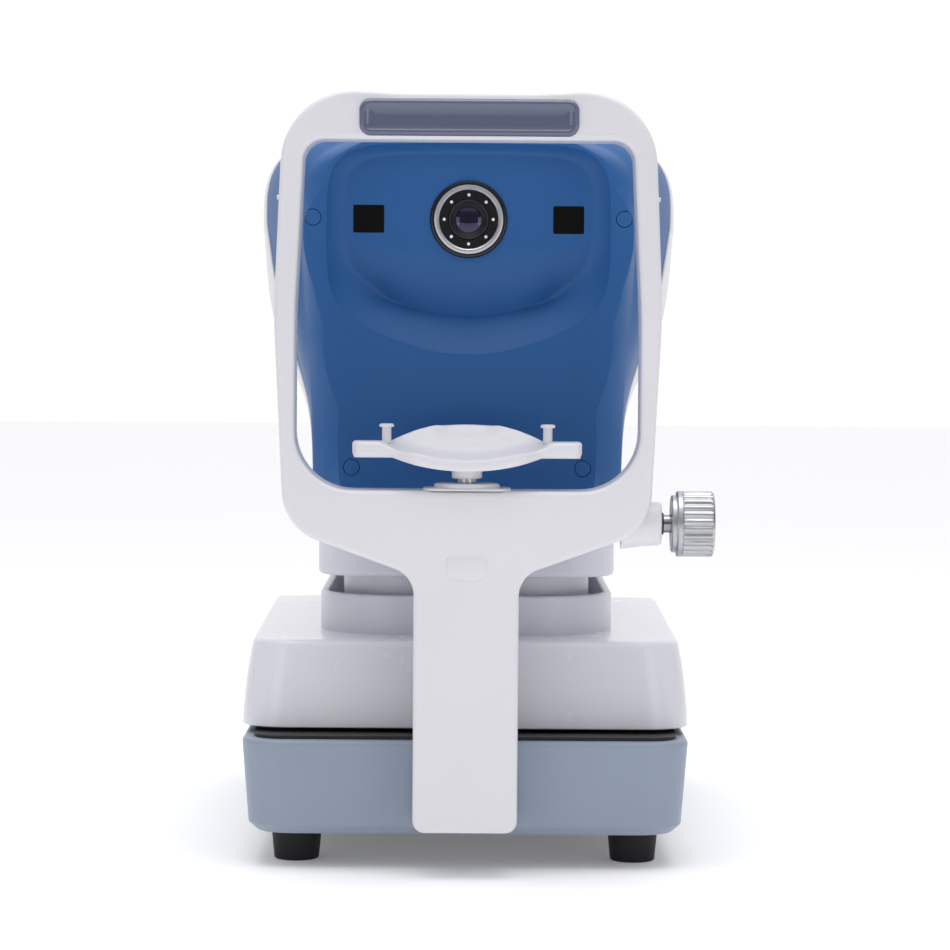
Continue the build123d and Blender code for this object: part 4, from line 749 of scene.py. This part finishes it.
def forehead_pad():
    """A soft pad with a rolled border round a shallow dish."""
    half_wide, half_tall, radius = 61.7, 10.3, 6.2
    middle_z = 430.6
    steps = [
        # inset, depth
        (0.6, 0.8), (0.0, 0.2), (0.0, -1.2), (0.5, -2.4), (1.3, -3.1), (2.4, -3.3), (3.0, -3.1),
        (3.4, -2.6), (4.2, -2.3), (5.4, -2.0), (6.8, -1.85), (8.4, -1.8), (9.6, -1.78),
    ]
    rings = []
    for inset, depth in steps:
        corner = max(radius - inset * 0.8, 0.6)
        outline = rectangle(0, middle_z, 2 * (half_wide - inset), 2 * (half_tall - inset), corner, 8)
        rings.append([(x, depth + brow_lean(x, z), z) for x, z in outline])
    piece = ring_piece(
        "forehead_pad_cushion", rings, SILICONE, "base", "pad_silicone", ("forehead_pad",), (True, True)
    )


forehead_pad()

# ------------------------------------------------------------------ chin rest
BOWL_HALF = 43.0
WING_HALF = 64.0
WING_TOP = 248.6
WING_LOW = 239.4
PIN_X = 45.7
BOWL_LOW = 232.2
BOWL_HIGH = 258.8
TRAY_CORNER = 19.0
TIP_ROUND = 4.0
TRAY_FILLET = 2.6
CROWN_POINTS = 24
# The chin's hollow is part of a ring: its section's centre and radius, and its axis above the tray.
HOLLOW_Y = 5.0
HOLLOW_R = 32.0
HOLLOW_AXIS = 343.4
HOLLOW_THROAT = 75.0


def arc_height(x, half, edge, middle):
    """Height on an arc that runs from edge height at +-half to middle height at 0."""
    rise = middle - edge
    radius = (half**2 + rise**2) / (2 * rise)
    return middle - radius + math.copysign(math.sqrt(radius**2 - min(abs(x), half) ** 2), radius)


def hollow_height(x, y):
    """Surface of the ring-shaped hollow for the chin."""
    gap = HOLLOW_R**2 - (y - HOLLOW_Y) ** 2
    if gap <= 0:
        return 400.0
    rho = HOLLOW_THROAT + math.sqrt(gap)
    return HOLLOW_AXIS - math.sqrt(max(rho**2 - x**2, 0))


def tray_station(x):
    """One closed section of the chin tray, in y and z."""
    blend = float(smoothstep(BOWL_HALF + 2.5, BOWL_HALF - 17, abs(x)))
    past_corner = max(abs(x) - (BOWL_HALF - 15), 0)
    round_in = TRAY_CORNER - math.sqrt(max(TRAY_CORNER**2 - past_corner**2, 0))
    front = 3 - 12 * blend + 0.2 * round_in * blend
    rear = 27 + 11 * blend - 0.2 * round_in * blend
    if abs(x) > WING_HALF - TIP_ROUND:
        tip = TIP_ROUND - math.sqrt(max(TIP_ROUND**2 - (abs(x) - WING_HALF + TIP_ROUND) ** 2, 0))
        front += tip
        rear -= tip
    low = arc_height(x, BOWL_HALF - 1, WING_LOW, BOWL_LOW)
    high = arc_height(x, BOWL_HALF, WING_TOP, BOWL_HIGH)
    top = []
    for share in np.linspace(0, 1, 26):
        y = front + (rear - front) * share
        top.append((y, min(high, max(hollow_height(x, y), low + 3.5))))
    soft = TRAY_FILLET
    first, last = top[0], top[-1]
    crown = [(y, z, 0) for y, z in top if front + soft * 1.3 < y < rear - soft * 1.3]
    while len(crown) < CROWN_POINTS:
        crown.insert(len(crown) // 2, crown[len(crown) // 2])
    crown = crown[:CROWN_POINTS]
    section = [(front, (low + first[1]) / 2, 0), (first[0], first[1], soft)] + crown
    section += [(last[0], last[1], soft), (rear, (low + last[1]) / 2, 0)]
    section += [(rear, low, soft), (front, low, soft)]
    return section


def tray_rings():
    """The tray's sections from wing to wing, with their corners rounded."""
    rings = []
    left = np.linspace(-WING_HALF, -48, 14)
    right = np.linspace(48, WING_HALF, 14)
    for x in np.concatenate((left, np.linspace(-46, 46, 70), right)):
        section = tray_station(x)
        path = []
        for i, (y, z, radius) in enumerate(section):
            if radius <= 0:
                path.append((y, z))
                continue
            before = Vector(section[i - 1][:2])
            after = Vector(section[(i + 1) % len(section)][:2])
            corner = Vector((y, z))
            for step in range(7):
                t = step / 6
                a = corner + (before - corner).normalized() * radius * 1.2
                b = corner + (after - corner).normalized() * radius * 1.2
                path.append(tuple((1 - t) ** 2 * a + 2 * t * (1 - t) * corner + t**2 * b))
        rings.append([(x, y, z) for y, z in path])
    return rings


def chin_tray():
    rings = tray_rings()
    ends = []
    for ring, side in ((rings[0], -1), (rings[-1], 1)):
        middle_y = sum(p[1] for p in ring) / len(ring)
        middle_z = sum(p[2] for p in ring) / len(ring)
        end = []
        for _, y, z in ring:
            y, z = middle_y + (y - middle_y) * 0.86, middle_z + (z - middle_z) * 0.62
            end.append((side * (WING_HALF + 0.9), y, z))
        ends.append(end)
    rings = [ends[0]] + rings + [ends[1]]
    white = (WHITE, "chin_rest", "white_moulding")
    ring_piece("chin_tray_skin", rings, *white, ("chin_tray",), (True, True), sharp=30)
    boss = [(0.001, 234.5), (8.7, 234.5), (8.7, 228.3), (7.9, 227.5), (0.001, 227.5)]
    lathe("chin_tray_boss", boss, (0, CHIN_Y, 0), "z", *white, closed=False)


def paper_pin(name, x):
    profile = [
        (0.001, 247.5), (2.6, 247.5), (2.6, 256.3), (3.4, 256.4), (4.1, 256.7), (4.2, 257.3), (4.0, 258.0),
        (3.2, 258.4), (0.001, 258.5),
    ]
    return lathe(name, profile, (x, CHIN_Y, 0), "z", WHITE, "chin_rest", "white_moulding", closed=False)


chin_tray()
paper_pin("paper_pin_left", -PIN_X)
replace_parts(paper_pin("paper_pin_right", PIN_X), "paper_pins")


def stack(name, sections, material, body, slot, replaced=(), closed=False, sharp=SHARP):
    """Rounded rectangles (x, y, wide, long, radius, z) skinned one over the other."""
    rings = []
    for x, y, wide, long, radius, z in sections:
        rings.append([(a, b, z) for a, b in rectangle(x, y, wide, long, radius, 10)])
    return ring_piece(name, rings, material, body, slot, replaced, closed=closed, sharp=sharp)


stack(
    "chin_base_disc_skin",
    [
        (0, CHIN_Y, 50, 29, 8, 220.9), (0, CHIN_Y, 50, 29, 8, 221.9), (0, CHIN_Y, 49.2, 28.2, 7.6, 222.3),
        (0, CHIN_Y, 38, 27.4, 13.4, 222.35), (0, CHIN_Y, 37.4, 27, 13.2, 223.8),
        (0, CHIN_Y, 36.4, 26, 12.6, 224.6), (0, CHIN_Y, 34, 24, 11.8, 224.9), (0, CHIN_Y, 10, 10, 4.9, 224.9),
        (0, CHIN_Y, 8.4, 8.4, 4.19, 224.6), (0, CHIN_Y, 8.4, 8.4, 4.19, 221),
    ],
    WHITE, "base", "white_moulding", ("chin_base_disc",),
)

# ------------------------------------------------------------------ chin rest knob
KNOB_RIBS = 26
KNOB_FLUTES = (122.9, 139.8)


def knob_flute(radius, along, angle):
    """Wide shallow flutes, which run out before each end."""
    start, end = KNOB_FLUTES
    if not start < along < end or radius < 17:
        return radius
    ends = min(1, (along - start) / 0.8, (end - along) / 0.8)
    wave = 0.5 - 0.5 * math.cos(KNOB_RIBS * angle)
    return radius - 0.95 * max(ends, 0) * (1 - wave) ** 1.4


knob_profile = [
    (5.2, 116.6), (15.6, 116.6), (16.4, 117.2), (16.4, 119.5), (18.2, 119.6), (18.8, 120.2), (18.8, 122.6),
    (18.4, 122.9), (18.7, 123.2), (18.7, 123.8), (18.7, 131), (18.7, 138.9), (18.7, 139.4), (18.5, 139.8),
    (17.6, 140.8), (16.8, 140.9), (16.2, 140.5), (13.5, 140.3), (13.2, 140.5), (0.001, 140.5),
]
lathe(
    "chin_knob_fluted", knob_profile, (0, KNOB_Y, KNOB_Z), "x", SATIN, "chin_knob_shaft", "knob_metal",
    ("chin_knob",), segments=KNOB_RIBS * 14, closed=False, flute=knob_flute,
)

boss_profile = [
    (5.25, 88), (14.5, 88), (13.8, 94), (13.0, 100), (12.5, 106), (12.4, 109.4), (12.1, 110.4), (11.3, 110.9),
    (6.4, 110.9), (6.2, 110.5), (5.25, 110.5),
]
lathe(
    "chin_knob_boss_turned", boss_profile, (0, KNOB_Y, KNOB_Z), "x", WHITE, "base", "white_moulding",
    ("chin_knob_boss",),
)

# ------------------------------------------------------------------ lens
LENS = (0, 0, LENS_Z)
LAMP_COUNT = 8
LAMP_CIRCLE = 14.35


def lens_part(name, profile, material, slot, node, closed=True):
    return lathe(name, profile, LENS, "y", material, "head", slot, (node,), segments=128, closed=closed)


lens_part(
    "lens_bezel_turned",
    [(22.5, 94), (22.5, 80.6), (22.1, 79.7), (21.6, 79.4), (20.9, 79.4), (20.45, 79.8), (20.45, 94)],
    GLOSS_BLACK, "black_plastic", "lens_bezel",
)
lens_part(
    "lens_trim_turned",
    [
        (20.4, 92), (20.4, 79.7), (20.1, 79.2), (19.6, 79.0), (18.0, 79.1), (17.4, 79.6), (17.15, 80.4),
        (17.15, 92),
    ],
    TRIM, "trim_silver", "lens_trim_ring",
)
lens_part(
    "lamp_carrier_turned",
    [(17.1, 88), (17.1, 81.2), (16.9, 81.0), (12.1, 81.0), (11.85, 81.2), (11.85, 88)],
    GLOSS_BLACK, "black_plastic", "lamp_carrier",
)
lens_part(
    "lens_barrel_turned",
    [
        (11.8, 158), (11.8, 81.0), (11.5, 80.4), (10.9, 80.4), (10.4, 80.8), (9.9, 81.6), (9.7, 82.2),
        (9.2, 82.6), (9.0, 83.6), (8.5, 84.0), (8.3, 85.0), (7.9, 85.2), (7.9, 86.0), (8.9, 86.0), (8.9, 158),
    ],
    BLACK, "black_plastic", "lens_barrel",
)
lens_part(
    "objective_lens_ground",
    [
        (0.001, 84.9), (1.6, 84.93), (3.2, 85.03), (4.8, 85.25), (6.4, 85.6), (7.8, 86.0), (8.8, 86.2),
        (8.8, 91.8), (0.001, 91.8),
    ],
    GLASS, "lens_glass", "objective_lens", closed=False,
)
lamp_profile = [
    (0.001, 80.4), (0.4, 80.45), (0.75, 80.6), (0.95, 80.9), (1.0, 81.4), (1.0, 84.5), (0.001, 84.5),
]
lamp_finish = ("y", LAMP, "head", "lamp_clear")
for i in range(LAMP_COUNT):
    angle = math.pi / 4 * i
    place = (LAMP_CIRCLE * math.cos(angle), 0, LENS_Z + LAMP_CIRCLE * math.sin(angle))
    lamp = lathe(f"measuring_lamp_{i + 1}", lamp_profile, place, *lamp_finish, segments=24, closed=False)
    if i == 0:
        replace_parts(lamp, "measuring_lamps")
cap_profile = [(0.001, 74.95), (4.0, 74.95), (4.5, 75.15), (4.65, 75.5), (4.65, 77), (0.001, 77)]
cap_finish = ("y", BLUE, "head", "blue_moulding")
for i, (x, z) in enumerate(CAP_PLACES):
    cap = lathe(f"screw_cap_{i + 1}", cap_profile, (x, 0, z), *cap_finish, segments=40, closed=False)
    if i == 0:
        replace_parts(cap, "screw_caps")

# ------------------------------------------------------------------ stage
NECK_Y = 217.0
HOLE = (0, NECK_Y, 159, 212, 43)
DECK_Z = 130.0
DECK_STEP = 5.0
STAGE_LOW = 78.5
STAGE_HALF = 131.5
COLLAR_TOP = 153.3
COLLAR_LIP = 1.6
STICK_X = 30.0
STICK_Y = 428.0


def deck_height(y):
    """The deck's height: lower behind the step."""
    return DECK_Z - DECK_STEP * float(np.clip((y - 392) / 11, 0, 1))


def stage_outline(z, inset=0.0):
    """The stage cover's outline at a height, drawn in by inset; the sides bow out a little."""
    rise = (z - STAGE_LOW) / (DECK_Z - STAGE_LOW)
    lean = 6.5 * rise**1.7
    front, rear = 60 + 6 * rise + inset, 466 - 4 * rise - inset
    half_front, half_rear = STAGE_HALF - lean - inset, STAGE_HALF - rise - inset
    corners = [(-half_front, front), (half_front, front), (half_rear, rear), (-half_rear, rear)]
    return divided(fillet_path([(x, y, 26 - inset * 0.8) for x, y in corners], True, 12), 56)


def stage_cover():
    """An open-bottomed cover, skinned inside and out and ruled across at the deck."""
    rings = []
    rim = [(127.0, 3.2), (112, 3.2), (95, 3.1), (79.8, 3.0), (79.3, 2.6), (79.3, 0.5), (79.8, 0)]
    for z, inset in rim:
        rings.append([(x, y, z - (DECK_Z - deck_height(y)) * (z > 110)) for x, y in stage_outline(z, inset)])
    for z in (84, 90, 97, 104, 111, 117, 122, 125.2):
        rings.append([(x, y, z - (DECK_Z - deck_height(y)) * smooth_share(z)) for x, y in stage_outline(z)])
    for turn in np.linspace(0, math.pi / 2, 7)[1:]:
        inset, drop = 4 * (1 - math.cos(turn)), 4 * (1 - math.sin(turn))
        rings.append([(x, y, deck_height(y) - drop) for x, y in stage_outline(126.5, inset)])
    size = len(rings[0])
    vertices = [point for ring in rings for point in ring]
    faces = ring_faces(len(rings), size)
    # both decks are ruled straight across from left to right
    top = (len(rings) - 1) * size
    vertices, faces = bridge_across(vertices, faces, top, size, True)
    vertices, faces = bridge_across(vertices, faces, 0, size, False)
    piece = make_piece(
        "stage_cover_skin", vertices, faces, STAGE, "stage", ("stage_cover",), 28
    )
    cutters = [
        cutter_prism(rectangle(*HOLE, 10), 110, 140, into_z),
        cutter_prism(circle(STICK_X, STICK_Y, 22), 110, 140, into_z),
        cutter_prism(rectangle(-80, 428, 66, 48, 2), 110, 140, into_z),
        cutter_prism(circle(95, 106, 3.05, 32), 450, 475, into_y),
    ]
    cut(piece, cutters)


def smooth_share(z):
    """How much of the rear deck's drop a side ring takes."""
    return float(smoothstep(85, 122, z))


def bridge_across(vertices, faces, start, size, upward):
    """Closes a mirrored ring with strips that run straight from its left to its right."""
    ring = vertices[start:start + size]
    left = sorted((i for i in range(size) if ring[i][0] < 0), key=lambda i: ring[i][1])
    right = sorted((i for i in range(size) if ring[i][0] >= 0), key=lambda i: ring[i][1])
    for a, b, c, d in zip(left, left[1:], right[1:], right):
        faces.append(tuple(start + k for k in ((a, d, c, b) if upward else (a, b, c, d))))
    return vertices, faces


stage_cover()


def stage_collar():
    """A thin-walled collar on a ledge round the opening for the neck."""
    sections = [(0, NECK_Y, 177, 228, 50, 129.6), (0, NECK_Y, 177, 228, 50, COLLAR_TOP - COLLAR_LIP)]
    for turn in np.linspace(0, math.pi / 2, 6)[1:]:
        inset, drop = COLLAR_LIP * (1 - math.cos(turn)), COLLAR_LIP * (1 - math.sin(turn))
        sections.append((0, NECK_Y, 177 - 2 * inset, 228 - 2 * inset, 50 - inset, COLLAR_TOP - drop))
    sections += [
        (0, NECK_Y, 168.6, 219.6, 46, COLLAR_TOP), (0, NECK_Y, 167.4, 218.4, 45.5, COLLAR_TOP - 0.6),
        (0, NECK_Y, 167, 218, 45.3, 136.6), (0, NECK_Y, 166.4, 217.4, 45, 136), (*HOLE, 136), (*HOLE, 129.6),
    ]
    stack(
        "stage_collar_skin", sections, BLOCK, "stage", "stage_moulding", ("stage_collar",), closed=True
    )


stage_collar()

# ------------------------------------------------------------------ lower case
CASE_MIDDLE = 260.0
CASE_WIDE = 251.92
CASE_LONG = 443.92
CASE_SPREAD = 4.04 / 55  # how fast each side leans out with height
CASE_LOW = 20.0
CASE_RIM = 3.0
WELL_MIDDLE = 256.5
WELL_WIDE = 216.0
WELL_LONG = 289.0


def case_section(z, inset):
    grow = (z - CASE_LOW) * CASE_SPREAD
    wide, long = CASE_WIDE + 2 * grow - 2 * inset, CASE_LONG + 2 * grow - 2 * inset
    return (0, CASE_MIDDLE, wide, long, 24 - inset * 0.7, z)


def lower_case():
    """Bevelled below, rounded at the rim, with a well under the stage and an open underside."""
    outside = ((20, 5.0), (20.6, 4.2), (24.2, 0.7), (25.2, 0), (48, 0), (71.6, 0))
    sections = [case_section(z, inset) for z, inset in outside]
    for turn in np.linspace(0, math.pi / 2, 6)[1:]:
        sections.append(case_section(72 + CASE_RIM * math.sin(turn), CASE_RIM * (1 - math.cos(turn))))
    sections += [
        (0, WELL_MIDDLE, WELL_WIDE + 0.6, WELL_LONG + 0.6, 8, 75),
        (0, WELL_MIDDLE, WELL_WIDE, WELL_LONG, 8, 74.6),
        (0, WELL_MIDDLE, WELL_WIDE, WELL_LONG, 8, 69),
    ]
    sections += [case_section(68.9, 8.5), case_section(40, 7.5), case_section(21.5, 8.5)]
    piece = stack(
        "base_lower_case_skin", sections, BASE, "base", "base_moulding", ("base_lower_case",),
        closed=True, sharp=24,
    )
    cut(piece, [cutter_prism(rectangle(-70, 47, 48.2, 28.2, 0.5, 2), 460, 500, into_y)])


lower_case()

# ------------------------------------------------------------------ joystick
STICK = (STICK_X, STICK_Y, 0)
PIVOT_Z = 107.0
DOME_OUTER = 26.0
DOME_INNER = 24.0
dome = []
for turn in np.linspace(math.radians(18), math.radians(81), 20):
    dome.append((DOME_OUTER * math.cos(turn), PIVOT_Z + DOME_OUTER * math.sin(turn)))
for turn in np.linspace(math.radians(80), math.radians(18), 16):
    dome.append((DOME_INNER * math.cos(turn), PIVOT_Z + DOME_INNER * math.sin(turn)))
lathe("joystick_dome_skin", dome, STICK, "z", BLACK, "joystick", "black_plastic", ("joystick_dome",))
grip = [(4.0, 200), (4.0, 164.2), (12.6, 164.2), (13.6, 165.2), (13.3, 168)]
grip_heights, grip_radii = (164, 172, 182, 194, 204, 210), (13.7, 12.2, 10.9, 11.6, 13.2, 12.6)
for z in np.linspace(171, 206, 15):
    grip.append((float(hermite(grip_heights, grip_radii, z)), float(z)))
grip += [(12.5, 209.5), (11.3, 212.3), (9.6, 213.8), (8.2, 214.2), (6.5, 213.9), (6.08, 213.2)]
grip += [(6.08, 204), (4.0, 204)]
lathe("joystick_grip_skin", grip, STICK, "z", GRIP, "joystick", "black_plastic", ("joystick_grip",))


RING_GROOVES = 24


def ring_flute(radius, along, angle):
    """Small grooves round the height ring."""
    if radius < 14:
        return radius
    wave = 0.5 - 0.5 * math.cos(RING_GROOVES * angle)
    return radius - 0.8 * (1 - wave) ** 3


ring_profile = [
    (4.06, 150.7), (13.6, 150.7), (14.6, 151.2), (15, 152.2), (15, 162.0), (14.6, 163.1), (13.4, 163.6),
    (4.06, 163.6),
]
lathe(
    "height_ring_skin", ring_profile, STICK, "z", BLACK, "height_dial", "black_plastic", ("height_ring",),
    segments=RING_GROOVES * 12, flute=ring_flute,
)


# ------------------------------------------------------------------ finishes of the CAD parts that stay
FINISHES = {
    "white_moulding": WHITE, "stage_moulding": STAGE, "blue_moulding": BLUE, "base_moulding": BASE,
    "black_plastic": BLACK, "foot_rubber": RUBBER, "steel": STEEL, "chrome": CHROME, "bronze": BRONZE,
    "cast_metal": CAST, "knob_metal": SATIN, "trim_silver": TRIM, "pad_silicone": SILICONE,
    "paper_white": PAPER, "board_green": BOARD, "window_glass": WINDOW, "screen_glass": SCREEN,
    "lamp_clear": LAMP, "lens_glass": GLASS,
}
# base_top_shroud gets black plastic as painted shade: it darkens the gap between the stage cover and the
# lower case.
FINISHES_AND_PAINTED_SHADE = {"head_tray": BLOCK, "neck_sleeve": BLOCK, "printer_lid": STAGE, "base_top_shroud": BLACK}
slots = {entry["node"]: entry["material_slot"] for entry in frame["record"]["subparts"]}
for name, node in frame["nodes"].items():
    if node.hide_render:
        continue
    material = FINISHES_AND_PAINTED_SHADE.get(name, FINISHES[slots[name]])
    node.data.materials.clear()
    node.data.materials.append(material)

# ------------------------------------------------------------------ room, lights and camera
floor_mesh = bpy.data.meshes.new("floor")
floor_mesh.from_pydata([(-6, -4, 0), (6, -4, 0), (6, 9, 0), (-6, 9, 0)], [], [(0, 1, 2, 3)])
floor = bpy.data.objects.new("floor", floor_mesh)
bpy.context.scene.collection.objects.link(floor)
floor_material, floor_tree, floor_shader = new_material("pale_floor")
tinted(floor_tree, floor_shader, srgb(252, 252, 253), 0.004, 2)
floor_shader.inputs["Roughness"].default_value = 0.9
floor_shader.inputs["Emission Color"].default_value = srgb(255, 255, 255)
floor_shader.inputs["Emission Strength"].default_value = 0.12
floor_mesh.materials.append(floor_material)

ROOM_LIGHT = 0.22
SWEEP_LIGHT = 1.04
TOP_LIGHT = 0.8
world = bpy.data.worlds.new("studio")
bpy.context.scene.world = world
world.use_nodes = True
background = world.node_tree.nodes["Background"]


def studio_sky(tree, shader):
    """A white sweep behind and above the object, and a dimmer room in front of it."""
    place = tree.nodes.new("ShaderNodeTexCoord")
    parts = tree.nodes.new("ShaderNodeSeparateXYZ")
    tree.links.new(place.outputs["Generated"], parts.inputs["Vector"])
    depth = tree.nodes.new("ShaderNodeMapRange")
    depth.interpolation_type = "SMOOTHSTEP"
    depth.inputs["From Min"].default_value = 0.35
    depth.inputs["From Max"].default_value = 0.93
    depth.inputs["To Min"].default_value = ROOM_LIGHT
    depth.inputs["To Max"].default_value = SWEEP_LIGHT
    tree.links.new(parts.outputs["Y"], depth.inputs["Value"])
    height = tree.nodes.new("ShaderNodeMapRange")
    height.interpolation_type = "SMOOTHSTEP"
    height.inputs["From Min"].default_value = 0.2
    height.inputs["From Max"].default_value = 0.9
    height.inputs["To Max"].default_value = TOP_LIGHT
    tree.links.new(parts.outputs["Z"], height.inputs["Value"])
    total = tree.nodes.new("ShaderNodeMath")
    tree.links.new(depth.outputs["Result"], total.inputs[0])
    tree.links.new(height.outputs["Result"], total.inputs[1])
    shader.inputs["Color"].default_value = srgb(253, 253, 255)
    tree.links.new(total.outputs["Value"], shader.inputs["Strength"])


studio_sky(world.node_tree, background)


def soft_light(name, place, target, wide, tall, power):
    """A rectangular lamp in metres, turned to face the target."""
    light = bpy.data.lights.new(name, "AREA")
    light.shape = "RECTANGLE"
    light.size = wide
    light.size_y = tall
    light.energy = power
    lamp = bpy.data.objects.new(name, light)
    lamp.location = place
    lamp.rotation_euler = (Vector(target) - Vector(place)).to_track_quat("-Z", "Y").to_euler()
    bpy.context.scene.collection.objects.link(lamp)


soft_light("overhead", (0, -0.35, 1.75), (0, -0.05, 0.3), 1.5, 1.1, 12)
soft_light("front_left", (-1.1, -1.8, 0.3), (0, -0.1, 0.12), 0.7, 0.7, 1.8)
soft_light("front_right", (1.1, -1.8, 0.3), (0, -0.1, 0.12), 0.7, 0.7, 2.1)

CAMERA_DISTANCE = 1850
CAMERA_HEIGHT = 310.6
camera_data = bpy.data.cameras.new("camera")
camera_data.sensor_width = 36
camera_data.lens = 124.6
camera_data.clip_start = 0.05
camera_data.clip_end = 50
camera = bpy.data.objects.new("camera", camera_data)
bpy.context.scene.collection.objects.link(camera)
PITCH, YAW, ROLL = math.radians(-2.49), math.radians(0.14), math.radians(0.4)
forward = Vector((math.sin(YAW) * math.cos(PITCH), math.cos(YAW) * math.cos(PITCH), math.sin(PITCH)))
turn = forward.to_track_quat("-Z", "Y").to_matrix() @ Matrix.Rotation(ROLL, 3, "Z")
camera.matrix_world = Matrix.Translation(at(0, -CAMERA_DISTANCE, CAMERA_HEIGHT)) @ turn.to_4x4()
bpy.context.scene.camera = camera
bpy.context.scene.view_settings.view_transform = "Standard"
